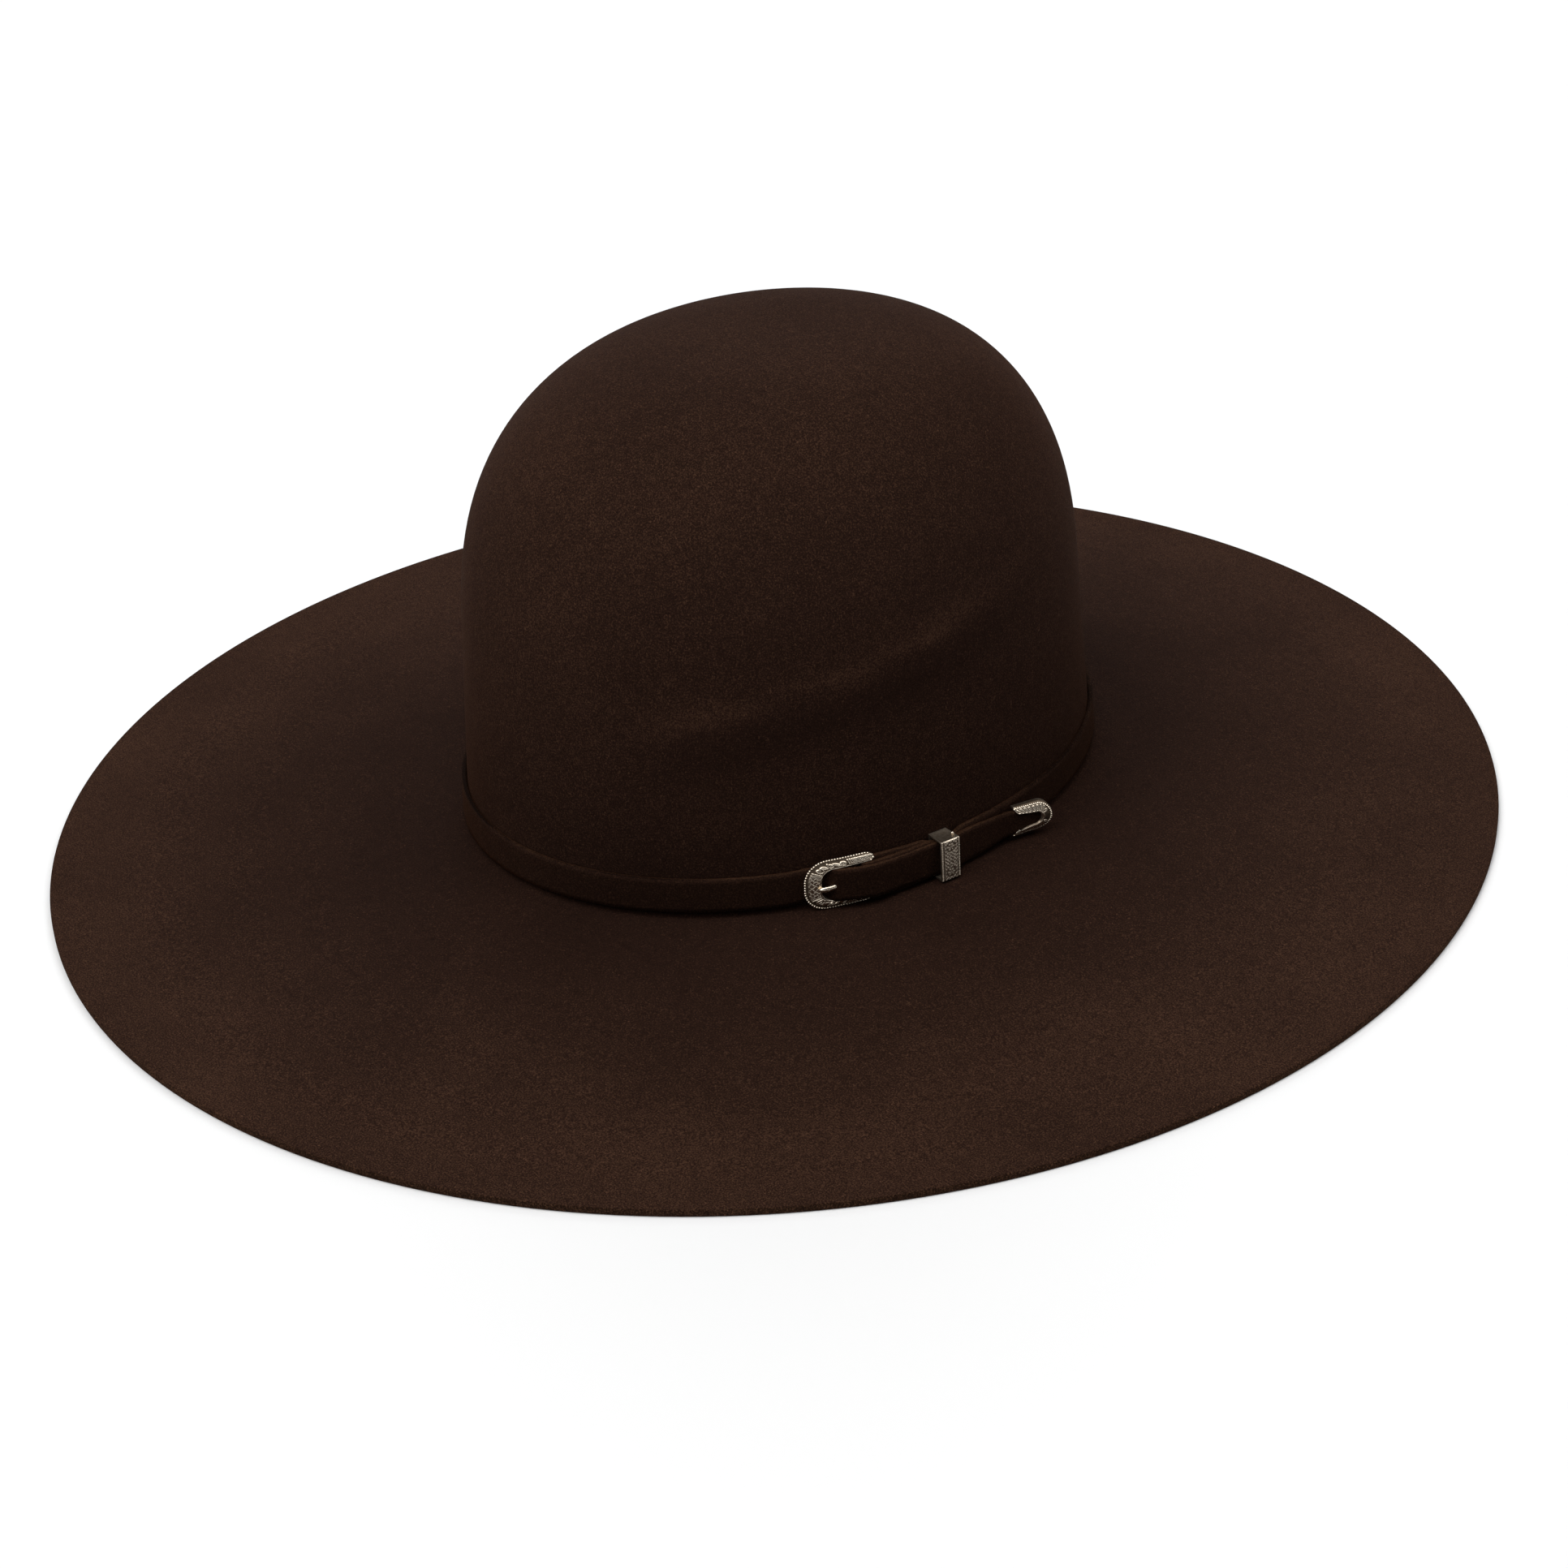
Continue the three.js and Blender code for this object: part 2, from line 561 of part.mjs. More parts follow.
function strapTip() {
  const hollowDepth = BAND_THICK + 2 * GAP;
  const face = hollowDepth / 2 + METAL_WALL;
  const hollow = new THREE.Shape(tipEdge(METAL_WALL, -METAL_WALL).getPoints(2 * CURVE_STEPS));
  const cavity = toSolid(flatPlate(hollow, hollowDepth));
  const sleeve = toSolid(flatPlate(tipShape(), 2 * face)).subtract(cavity);
  const border = spaced(tipEdge(2 * BEAD_RADIUS, TIP_ARM / 2));
  return toGeometry(joined(sleeve, beads(border, face, (bead) => bead)));
}

// Materials and pieces

const silver = { roughness: 0.38, metalness: 1 };
const felt = new THREE.MeshStandardMaterial({ color: '#24160f', roughness: 0.95, metalness: 0 });
const strapFelt = new THREE.MeshStandardMaterial({ color: '#20130d', roughness: 0.95, metalness: 0 });
const frameSilver = new THREE.MeshStandardMaterial({ color: '#9c9488', ...silver });
const tongueSilver = new THREE.MeshStandardMaterial({ color: '#b3aa9c', ...silver });
const keeperSilver = new THREE.MeshStandardMaterial({ color: '#8d857a', ...silver });
const tipSilver = new THREE.MeshStandardMaterial({ color: '#968e82', ...silver });

function named(name, geometry, material) {
  const mesh = new THREE.Mesh(geometry, material);
  mesh.name = name;
  return mesh;
}

const tip = named('strap_tip', strapTip(), tipSilver);
tip.position.x = STRAIGHT_LEAD;
looseEnd.add(tip);

const hat = new THREE.Group();
hat.add(
  named('felt_body', feltBody(), felt),
  named('hat_band', hatBand(), strapFelt),
  named('buckle_frame', buckleFrame(), frameSilver),
  named('buckle_tongue', buckleTongue(), tongueSilver),
  named('keeper', keeper(), keeperSilver),
  looseEnd,
);

export default hat;
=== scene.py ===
# %% [markdown]
# # A wide-brimmed felt hat with a narrow buckled band
#
# A hat body like this is one piece of fur felt: a cone of felt is pulled over a block, which
# leaves a high round crown with no crease, and the brim is ironed flat and cut to width. A
# strap of the same felt goes round the crown, and a small set of silver castings, a buckle, a
# keeper and a tip, fastens it on the wearer's left.
#
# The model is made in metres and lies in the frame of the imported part: the origin is on the
# surface under the brim's middle, the front of the hat is at -Y and its left at +X. The frame
# comes first, because every piece is measured from it.

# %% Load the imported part
import math

import bmesh
import bpy
import numpy as np
from mathutils import Matrix, Vector, noise


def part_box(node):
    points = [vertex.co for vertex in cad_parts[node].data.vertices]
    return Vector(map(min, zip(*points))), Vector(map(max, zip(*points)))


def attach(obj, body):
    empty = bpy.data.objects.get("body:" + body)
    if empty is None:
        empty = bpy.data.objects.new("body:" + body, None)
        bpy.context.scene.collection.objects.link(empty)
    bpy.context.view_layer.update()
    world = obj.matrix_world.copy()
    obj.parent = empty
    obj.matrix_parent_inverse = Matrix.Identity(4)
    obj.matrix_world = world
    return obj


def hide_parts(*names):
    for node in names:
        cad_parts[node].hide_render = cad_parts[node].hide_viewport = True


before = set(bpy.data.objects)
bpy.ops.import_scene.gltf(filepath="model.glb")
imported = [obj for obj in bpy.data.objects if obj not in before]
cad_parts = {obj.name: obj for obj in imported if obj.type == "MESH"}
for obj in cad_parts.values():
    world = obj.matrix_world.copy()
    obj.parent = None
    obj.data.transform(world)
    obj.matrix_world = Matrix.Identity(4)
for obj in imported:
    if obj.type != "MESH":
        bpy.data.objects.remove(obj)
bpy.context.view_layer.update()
MM = 0.001

# %% [markdown]
# ## The shape of the crown
#
# Nearly every piece of this hat lies on the crown's wall, so the crown's shape is a function
# first and a mesh later. The crown is an oval that draws in a little with height, and the
# whole of it leans a trace. `beside_crown` takes a place on the band, as a length along the
# crown's foot, a height over the brim and a distance out from the felt, and gives the point in
# space. Small pieces can then be modelled flat, as on a bench, and be bent round the hat last.

# %% Sizes of the felt body
felt_low, felt_high = (Vector(corner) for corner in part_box("felt_body"))
BRIM_WIDTH = felt_high.x - felt_low.x
BRIM_LENGTH = felt_high.y - felt_low.y
FELT_THICK = 2.2 * MM
BRIM_RISE = 4.8 * MM
RIM_FLAT = 9 * MM
CROWN_LENGTH = 210 * MM
CROWN_WIDTH = 176 * MM
CROWN_HEIGHT = 141.4 * MM
WALL_HEIGHT = 62.5 * MM
FRONT_DRAFT = 0.104
BACK_DRAFT = 0.098
SIDE_DRAFT = 0.022
CROWN_OFFSET = 1 * MM
LEAN_FRONT = 2.1 * MM
LEAN_RIGHT = 1.7 * MM
DOME_BACK = 10.5 * MM
DOME_LEFT = 1.1 * MM
DOME_RISE_POWER = 0.78
DOME_REACH_POWER = 0.71
BREAK_RADIUS = 1.4 * MM
CROWN_FOOT = FELT_THICK + BRIM_RISE
print(f"brim {BRIM_LENGTH / MM:.0f} by {BRIM_WIDTH / MM:.0f} mm")

# %% The crown's oval and its lean


def crown_halves(up, at_back):
    """Half width and half length of the crown at a height over the brim."""
    draft = BACK_DRAFT if at_back else FRONT_DRAFT
    return CROWN_WIDTH / 2 - SIDE_DRAFT * up, CROWN_LENGTH / 2 - draft * up


def lean(point, up):
    """Turns a point of the upright crown about the crown's foot."""
    right = LEAN_RIGHT / CROWN_HEIGHT
    front = LEAN_FRONT / CROWN_HEIGHT
    rise = right * point.x + front * point.y
    return point + Vector((-right * up, CROWN_OFFSET - front * up, rise))


# %% Lengths along the crown's foot
OVAL_STEPS = 1440
oval_turns = np.linspace(0, 2 * math.pi, OVAL_STEPS + 1)
oval_steps = np.hypot(np.diff(CROWN_WIDTH / 2 * np.cos(oval_turns)),
                      np.diff(CROWN_LENGTH / 2 * np.sin(oval_turns)))
oval_lengths = np.concatenate([[0], np.cumsum(oval_steps)])
FOOT_LENGTH = float(oval_lengths[-1])
print(f"the crown's foot is {FOOT_LENGTH / MM:.0f} mm round")


def beside_crown(along, up, out):
    """A point beside the crown's wall. Along is measured from the hat's left towards its back."""
    turn = float(np.interp(along % FOOT_LENGTH, oval_lengths, oval_turns))
    half_width, half_length = crown_halves(up, math.sin(turn) > 0)
    normal = Vector((math.cos(turn) / half_width, math.sin(turn) / half_length, 0)).normalized()
    foot = Vector((half_width * math.cos(turn), half_length * math.sin(turn), CROWN_FOOT + up))
    return lean(foot + normal * out, up)


def bend_round_crown(bm):
    """Bends what was made flat, with x along the band, y up and z out."""
    for vert in bm.verts:
        vert.co = beside_crown(*vert.co)


# %% [markdown]
# ## Colours and nodes
#
# Colours are written as sRGB hex values, but the renderer works in linear light, so one
# function turns them. A second one adds a shader node, sets its inputs and links what is given
# as a socket, which keeps each material readable from top to bottom.

# %% Helpers for materials


def colour(hex_code):
    """Linear RGBA from an sRGB hex code."""
    channels = [int(hex_code[i:i + 2], 16) / 255 for i in (1, 3, 5)]
    return [c / 12.92 if c <= 0.04045 else ((c + 0.055) / 1.055) ** 2.4 for c in channels] + [1]


def add(material, kind, inputs=None, **settings):
    """Adds a node. Inputs are values or sockets by name or number."""
    tree = material.node_tree
    node = tree.nodes.new(kind)
    for key, value in settings.items():
        setattr(node, key, value)
    for key, value in (inputs or {}).items():
        if isinstance(value, bpy.types.NodeSocket):
            tree.links.new(value, node.inputs[key])
        else:
            node.inputs[key].default_value = value
    return node


def new_material(name):
    """An empty material and its surface shader."""
    material = bpy.data.materials.new(name)
    material.use_nodes = True
    shader = material.node_tree.nodes["Principled BSDF"]
    return material, shader


def link(material, socket, shader, name):
    material.node_tree.links.new(socket, shader.inputs[name])


def ramp(material, fac, stops):
    """A colour ramp with stops of (position, hex code)."""
    node = add(material, "ShaderNodeValToRGB", {"Fac": fac})
    elements = node.color_ramp.elements
    while len(elements) < len(stops):
        elements.new(0.5)
    for element, (position, hex_code) in zip(elements, stops):
        element.position = position
        element.color = colour(hex_code)
    return node.outputs["Color"]


# %% [markdown]
# ## Fur felt
#
# Fur felt is a mat of very fine dyed hair, brushed and steamed. The eye reads it by three
# things: it has no gloss, its short nap catches light at the edges of a form, and its colour is
# never even. A speckle of lighter hair lies over cloudy patches where the nap was stroked one
# way or the other. So the material is a rough surface with a little sheen, a fine noise for the
# hair and a broad one for the clouds. Real hair is far too fine to show, so the speckle is
# drawn about half a millimetre wide, with a sparse second noise for the tips of single pale
# hairs. The felt's attribute holds one long streak and painted shade: the felt is painted darker
# about the crown's foot and on the brim by the crown, and lighter towards the brim's rim.

# %% Felt material
HAIR = 0.45 * MM
HAIR_TIP = 0.8 * MM
TUFT = 2.6 * MM
CLOUD = 60 * MM
TIP_SHARE = 0.2
TUFT_SHARE = 0.16
SHADE_RANGE = 0.3


def fur_felt(name, dark, middle, light, clouds=0.16, strokes=0.0):
    material, shader = new_material(name)
    place = add(material, "ShaderNodeTexCoord").outputs["Object"]
    hair = add(material, "ShaderNodeTexNoise",
               {"Vector": place, "Scale": 1 / HAIR, "Detail": 2, "Roughness": 0.8})
    tuft = add(material, "ShaderNodeTexNoise",
               {"Vector": place, "Scale": 1 / TUFT, "Detail": 3, "Roughness": 0.6})
    cloud = add(material, "ShaderNodeTexNoise",
                {"Vector": place, "Scale": 1 / CLOUD, "Detail": 3, "Roughness": 0.6})
    # The attribute holds the streak and the painted shade by the crown's foot; strokes sets how strongly it
    # shows.
    nap_and_shade = add(material, "ShaderNodeAttribute", attribute_name="nap_and_shade")
    tips = add(material, "ShaderNodeTexNoise",
               {"Vector": place, "Scale": 1 / HAIR_TIP, "Detail": 1, "Roughness": 0.5})
    pale_tips = add(material, "ShaderNodeMapRange",
                    {"Value": tips.outputs["Fac"], "From Min": 0.66, "From Max": 0.8})
    level = hair.outputs["Fac"]
    for amount, share in ((pale_tips.outputs["Result"], TIP_SHARE),
                          (tuft.outputs["Fac"], TUFT_SHARE),
                          (cloud.outputs["Fac"], clouds), (nap_and_shade.outputs["Fac"], strokes)):
        level = add(material, "ShaderNodeMath", {0: amount, 1: share, 2: level},
                    operation="MULTIPLY_ADD").outputs["Value"]
    middle_level = 0.5 + 0.5 * TUFT_SHARE + 0.5 * clouds
    shade = add(material, "ShaderNodeMapRange",
                {"Value": level, "From Min": middle_level - SHADE_RANGE,
                 "From Max": middle_level + SHADE_RANGE})
    felt = ramp(material, shade.outputs["Result"], [(0.05, dark), (0.5, middle), (0.98, light)])
    link(material, felt, shader, "Base Color")
    grain = add(material, "ShaderNodeBump",
                {"Height": hair.outputs["Fac"], "Strength": 0.8, "Distance": 0.3 * MM})
    link(material, grain.outputs["Normal"], shader, "Normal")
    shader.inputs["Roughness"].default_value = 0.95
    shader.inputs["Specular IOR Level"].default_value = 0.03
    shader.inputs["Sheen Weight"].default_value = 0.09
    shader.inputs["Sheen Roughness"].default_value = 0.3
    shader.inputs["Sheen Tint"].default_value = colour("#a4663e")
    return material


# The body's felt shows the streak and the painted shade from its attribute.
body_felt = fur_felt("fur_felt_brushed", "#170d09", "#251711", "#4b3427", strokes=0.12)
strap_felt = fur_felt("fur_felt_strap", "#150c08", "#20130d", "#39261c")
raw_felt = fur_felt("fur_felt_cut_edge", "#0d0705", "#160c08", "#3f2b1e", clouds=0.9)
rim_felt = fur_felt("fur_felt_cut_rim", "#160c08", "#25170f", "#5a3f2f")

# %% [markdown]
# ## Helpers for pieces
#
# Each piece is made in a bmesh, a mesh that is still open for editing. When it is done it
# becomes an object at the origin, with its place in its mesh, which rides on the part's body
# and stands for the solid of the same name.

# %% Finish a piece


def finish_piece(bm, name, node, materials):
    """Turns a bmesh into a shown piece."""
    mesh = bpy.data.meshes.new(name)
    bm.to_mesh(mesh)
    bm.free()
    for polygon in mesh.polygons:
        polygon.use_smooth = True
    for material in materials:
        mesh.materials.append(material)
    piece = bpy.data.objects.new(name, mesh)
    bpy.context.scene.collection.objects.link(piece)
    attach(piece, "root")
    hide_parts(node)
    print(f"{name}: {len(mesh.polygons)} faces")


# %% [markdown]
# ## Felt body
#
# A hat is nearly a turned form, so its outer profile is drawn once and spun into a round shape.
# Every point is then moved out to the oval: the crown is longer than wide, the brim is more
# nearly round, and the crown leans. The wall gets its thickness last, and the cut edge of the
# brim is only just softened.

# %% The felt's profile
SPIN_STEPS = 264
DOME_STEPS = 44
WALL_STEPS = 22
BREAK_STEPS = 5
BRIM_STEPS = 26


def felt_profile():
    """Points from the crown's top to the rim, as (reach, height) at the hat's side."""
    points = []
    for i in range(DOME_STEPS):
        angle = math.pi / 2 * (1 - (i / DOME_STEPS) ** 1.25)
        up = WALL_HEIGHT + (CROWN_HEIGHT - WALL_HEIGHT) * math.sin(angle) ** DOME_RISE_POWER
        reach = crown_halves(up, True)[0] * abs(math.cos(angle)) ** DOME_REACH_POWER
        points.append((reach, CROWN_FOOT + up))
    for i in range(WALL_STEPS):
        up = WALL_HEIGHT + (BREAK_RADIUS - WALL_HEIGHT) * i / WALL_STEPS
        points.append((crown_halves(up, True)[0], CROWN_FOOT + up))
    for i in range(BREAK_STEPS + 1):
        angle = math.pi / 2 * i / BREAK_STEPS
        points.append((CROWN_WIDTH / 2 + BREAK_RADIUS * (1 - math.cos(angle)),
                       CROWN_FOOT + BREAK_RADIUS * (1 - math.sin(angle))))
    start = CROWN_WIDTH / 2 + BREAK_RADIUS
    flat = BRIM_WIDTH / 2 - RIM_FLAT
    for i in range(1, BRIM_STEPS + 1):
        share = i / BRIM_STEPS
        reach = start + (flat - start) * share
        points.append((reach, FELT_THICK + BRIM_RISE * (1 - share)))
    points += [(BRIM_WIDTH / 2 - RIM_FLAT / 2, FELT_THICK), (BRIM_WIDTH / 2, FELT_THICK)]
    return points


# %% Stretch the round form to the oval


def make_oval(bm):
    spread = (BRIM_LENGTH - CROWN_LENGTH) / (BRIM_WIDTH - CROWN_WIDTH)
    slope = BRIM_WIDTH / 2 - RIM_FLAT - CROWN_WIDTH / 2
    for vert in bm.verts:
        x, y, z = vert.co
        reach = math.hypot(x, y)
        up = max(z - CROWN_FOOT, 0)
        half_width, half_length = crown_halves(up, y > 0)
        beyond = max(reach - half_width, 0)
        longer = (half_length + beyond * spread) / (half_width + beyond)
        inward = 1 - reach / half_width if up > WALL_HEIGHT else 0
        upright = Vector((x, y * longer, z))
        leaning = lean(upright, up) + Vector((DOME_LEFT * inward, DOME_BACK * inward, 0))
        vert.co = upright.lerp(leaning, min(max(1 - beyond / slope, 0), 1))


# %% A streak in the nap, and painted shade by the crown's foot
# A long streak runs up the crown's left side, lighter above and darker below. Painted shade
# lies on the crown's foot and on the brim beside it, which are painted darker where the crown and
# brim shade each other, and the brim is painted lighter towards its rim.
STREAK_START = math.radians(-66)
STREAK_END = math.radians(18)
STREAK_LOW = 59 * MM
STREAK_HIGH = 92 * MM
STREAK_SOFT = 5.5 * MM
STREAK_CRISP = 1.4 * MM
STREAK_LIGHT = 0.9
STREAK_DARK = 0.6
FOOT_SHADE = 0.55
FOOT_REACH = 28 * MM
BRIM_SHADE = 0.9
BRIM_GAIN = 1.1
BRIM_LIGHT = 0.3


def streak_and_painted_shade_at(point):
    """How far the streak and the painted shade lighten or darken the felt at a point, from -1 to 1."""
    turn = math.atan2(point.y / CROWN_LENGTH, point.x / CROWN_WIDTH)
    share = (turn - STREAK_START) / (STREAK_END - STREAK_START)
    off = point.z - (STREAK_LOW + (STREAK_HIGH - STREAK_LOW) * share)
    fade = max(0.0, min(1.0, 4 * share)) * max(0.0, min(1.0, 4 * (1 - share)))
    light = math.exp(-(off / (STREAK_SOFT if off > 0 else STREAK_CRISP)) ** 2)
    dark = math.exp(-((off + 7 * STREAK_CRISP) / (5 * STREAK_CRISP)) ** 2)
    amount = fade * (STREAK_LIGHT * light - STREAK_DARK * dark)
    # Painted shade: the crown's foot is painted darker where the brim shades it.
    amount -= FOOT_SHADE * math.exp(-((point.z - CROWN_FOOT) / FOOT_REACH) ** 2)
    # On the brim that painted shade is taken off again, and the brim is painted darker by the crown, where
    # the crown shades it, and lighter towards its rim.
    if point.z < CROWN_FOOT + BREAK_RADIUS:
        amount += FOOT_SHADE
        crown_reach = math.hypot(point.x / CROWN_WIDTH, point.y / CROWN_LENGTH) * 2
        amount += min(BRIM_GAIN * (crown_reach - 1) - BRIM_SHADE, BRIM_LIGHT)
    return amount


# %% Make the felt body
RIM_SOFT = 0.35 * MM
felt = bmesh.new()
profile = [felt.verts.new((reach, 0, height)) for reach, height in felt_profile()]
edges = [felt.edges.new(pair) for pair in zip(profile, profile[1:])]
bmesh.ops.spin(felt, geom=profile + edges, axis=(0, 0, 1), cent=(0, 0, 0), steps=SPIN_STEPS,
               angle=2 * math.pi, use_merge=True)
bmesh.ops.remove_doubles(felt, verts=felt.verts, dist=1e-6)
bmesh.ops.recalc_face_normals(felt, faces=felt.faces)
make_oval(felt)
top = max(felt.verts, key=lambda vert: vert.co.z)
if top.link_faces[0].normal.z < 0:
    bmesh.ops.reverse_faces(felt, faces=felt.faces)
bmesh.ops.solidify(felt, geom=felt.faces, thickness=FELT_THICK)
rim = [edge for edge in felt.edges if edge.calc_face_angle(0) > math.radians(60)]
bmesh.ops.bevel(felt, geom=rim, offset=RIM_SOFT, offset_type="OFFSET", segments=2, profile=0.5,
                affect="EDGES", material=-1)
# Each vertex keeps the streak and the painted shade: darker felt about the crown's foot and on the brim by
# the crown.
streak_and_shade_layer = felt.verts.layers.float.new("nap_and_shade")
for vert in felt.verts:
    vert[streak_and_shade_layer] = streak_and_painted_shade_at(vert.co)
for face in felt.faces:
    face.material_index = int(abs(face.normal.z) < 0.5 and face.calc_center_median().z < FELT_THICK)
print("felt body from", min(v.co.z for v in felt.verts), "to", max(v.co.z for v in felt.verts))
finish_piece(felt, "felt_body_soft", "felt_body", [body_felt, rim_felt])

# %% [markdown]
# ## Places along the band
#
# The buckle, keeper and tip sit on one strap, so their places are measured along the crown's
# foot one after the other, and the layers of felt between them are stacked outwards. The fixed
# end of the strap is folded round the buckle's bar. From there the strap goes once round the
# crown, comes back under the buckle's closed end, over the bar and through the keeper.

# %% Sizes of the band and its fittings
GAP = 0.3 * MM
BAND_THICK = 1.3 * MM
BAND_WIDTH = 10.2 * MM
BAND_CENTRE = 7.3 * MM
FOLD_END = 20.5 * MM
BUCKLE_AT = -58.3 * MM
FRAME_LENGTH = 20 * MM
FRAME_HEIGHT = 15.1 * MM
FRAME_CENTRE = 7.85 * MM
FRAME_DEPTH = 2 * MM
FRAME_END = 4.8 * MM
ARM_WIDTH = 2.7 * MM
FRAME_CORNER = 6.4 * MM
OPENING_CORNER = 3.4 * MM
BAR_RADIUS = 0.7 * MM
BAR_SET = 1.7 * MM
KEEPER_SPACE = 21.6 * MM
KEEPER_LENGTH = 6.3 * MM
KEEPER_HEIGHT = 13.1 * MM
KEEPER_DEPTH = 6.6 * MM
KEEPER_CENTRE = 6.9 * MM
METAL_WALL = 0.75 * MM
TIP_SPACE = 24 * MM
TIP_LENGTH = 12.8 * MM
TIP_HEIGHT = 9.6 * MM
TIP_CENTRE = 6.4 * MM
TIP_ARM = 2.8 * MM
TIP_END = 3.6 * MM
TURN_RUN = 4 * MM
STRAIGHT_LEAD = 1.5 * MM
TIP_TURN = math.radians(18)

bar_at = BUCKLE_AT + FRAME_LENGTH - BAR_SET
keeper_at = bar_at + KEEPER_SPACE
keeper_past = keeper_at + KEEPER_LENGTH
tip_at = keeper_past + TIP_SPACE
straight_at = tip_at - STRAIGHT_LEAD
band_end = tip_at + TIP_LENGTH - METAL_WALL - GAP
layer = BAND_THICK + GAP
first_layer = GAP + BAND_THICK / 2
second_layer = first_layer + layer
third_layer = second_layer + layer
fold_radius = BAR_RADIUS + GAP + BAND_THICK / 2
bar_out = first_layer + fold_radius
over_bar = bar_out + fold_radius + layer
in_keeper = GAP + METAL_WALL + first_layer
frame_face = GAP + BAND_THICK + GAP + FRAME_DEPTH
squeezed = FRAME_HEIGHT - 2 * ARM_WIDTH + 0.2 * MM
in_tip = TIP_HEIGHT - 2 * METAL_WALL - 2 * GAP
print(f"the strap is {(FOOT_LENGTH + band_end - bar_at) / MM:.0f} mm long")

# %% [markdown]
# ## The strap
#
# The strap is cut from sheet felt, so its faces are brushed and its edges are raw, a little
# darker and flecked with pale fuzz. It is made as one long grid, bent along its route, and given
# its thickness by solidify, whose rim faces become the raw edge.

# %% The strap's route
# Each row: place along the foot, distance out, height over the brim and width.
ROUTE = [
    (bar_at, first_layer, FRAME_CENTRE, squeezed),
    (bar_at + BAR_SET, first_layer, FRAME_CENTRE, squeezed),
    (keeper_at - 2 * METAL_WALL - layer, first_layer, BAND_CENTRE, BAND_WIDTH),
    (keeper_at - METAL_WALL, in_keeper, KEEPER_CENTRE, BAND_WIDTH),
    (keeper_past + METAL_WALL, in_keeper, KEEPER_CENTRE, BAND_WIDTH),
    (keeper_past + KEEPER_LENGTH, first_layer, BAND_CENTRE, BAND_WIDTH),
    (FOOT_LENGTH + BUCKLE_AT - FRAME_END, first_layer, BAND_CENTRE, BAND_WIDTH),
    (FOOT_LENGTH + BUCKLE_AT + FRAME_END / 2, first_layer, FRAME_CENTRE, squeezed),
    (FOOT_LENGTH + BUCKLE_AT + FRAME_END, first_layer, FRAME_CENTRE, squeezed),
    (FOOT_LENGTH + BUCKLE_AT + FRAME_END + 5.5 * MM, 0.8 * over_bar, FRAME_CENTRE, squeezed),
    (FOOT_LENGTH + bar_at - fold_radius, over_bar, FRAME_CENTRE, squeezed),
    (FOOT_LENGTH + bar_at + fold_radius, over_bar, FRAME_CENTRE - 0.3 * MM, BAND_WIDTH),
    (FOOT_LENGTH + bar_at + FOLD_END / 2, third_layer, KEEPER_CENTRE, BAND_WIDTH),
    (FOOT_LENGTH + keeper_at - METAL_WALL, in_keeper + layer, KEEPER_CENTRE, BAND_WIDTH),
    (FOOT_LENGTH + keeper_past + METAL_WALL, in_keeper + layer, KEEPER_CENTRE, BAND_WIDTH),
    (FOOT_LENGTH + keeper_past + KEEPER_LENGTH, second_layer, TIP_CENTRE, BAND_WIDTH),
    (FOOT_LENGTH + tip_at - METAL_WALL, second_layer, TIP_CENTRE, in_tip),
    (FOOT_LENGTH + tip_at + TIP_LENGTH - TIP_HEIGHT / 2, second_layer, TIP_CENTRE, in_tip),
    (FOOT_LENGTH + band_end, second_layer, TIP_CENTRE, in_tip / 4),
]
OUT, UP, WIDTH = 1, 2, 3


def route_value(along, column):
    """Eases from row to row of the route."""
    rows = [row for row in ROUTE if row[0] <= along] or ROUTE[:1]
    start = min(len(rows), len(ROUTE) - 1) - 1
    low, high = ROUTE[start], ROUTE[start + 1]
    share = min(max((along - low[0]) / (high[0] - low[0]), 0), 1)
    share = share * share * (3 - 2 * share)
    return low[column] + (high[column] - low[column]) * share


def strap_out(along):
    """Distance out of the strap's middle. The loose end turns away from the crown."""
    past = min(max(along - (FOOT_LENGTH + straight_at - TURN_RUN), 0), TURN_RUN)
    return route_value(along, OUT) + math.tan(TIP_TURN) * past * past / (2 * TURN_RUN)


# %% The straight loose end
loose_origin = beside_crown(straight_at, TIP_CENTRE, strap_out(FOOT_LENGTH + straight_at))
loose_turn = float(np.interp(straight_at, oval_lengths, oval_turns))
loose_facing = math.atan2(math.sin(loose_turn) / CROWN_LENGTH, math.cos(loose_turn) / CROWN_WIDTH)
loose_end = (Matrix.Translation(loose_origin)
             @ Matrix.Rotation(loose_facing + math.pi / 2 - TIP_TURN, 4, "Z")
             @ Matrix.Rotation(math.pi / 2, 4, "X"))


def strap_point(along, across, out):
    """A point of the strap, across from its middle line, at a distance out from the felt."""
    up = route_value(along, UP) + across * route_value(along, WIDTH)
    past = along - FOOT_LENGTH - straight_at
    if past > 0:
        straight_out = strap_out(FOOT_LENGTH + straight_at)
        return loose_end @ Vector((past, up - TIP_CENTRE, out - straight_out))
    return beside_crown(along, up, out)


# %% The strap's middle line, seen from above
FOLD_STEPS = 14
STRAP_STEP = 1.2 * MM


def strap_line():
    """Rows of (along, out), from the hidden end of the fold to the tip."""
    line = []
    for i in range(FOLD_STEPS + 1):
        share = i / FOLD_STEPS
        eased = share * share * (3 - 2 * share)
        out = second_layer + (bar_out + fold_radius - second_layer) * eased
        line.append((bar_at + FOLD_END * (1 - share), out))
    for i in range(1, FOLD_STEPS + 1):
        angle = math.pi * i / FOLD_STEPS
        line.append((bar_at - fold_radius * math.sin(angle), bar_out + fold_radius * math.cos(angle)))
    steps = round((FOOT_LENGTH + band_end - bar_at) / STRAP_STEP)
    for i in range(1, steps + 1):
        along = bar_at + (FOOT_LENGTH + band_end - bar_at) * i / steps
        line.append((along, strap_out(along)))
    return line


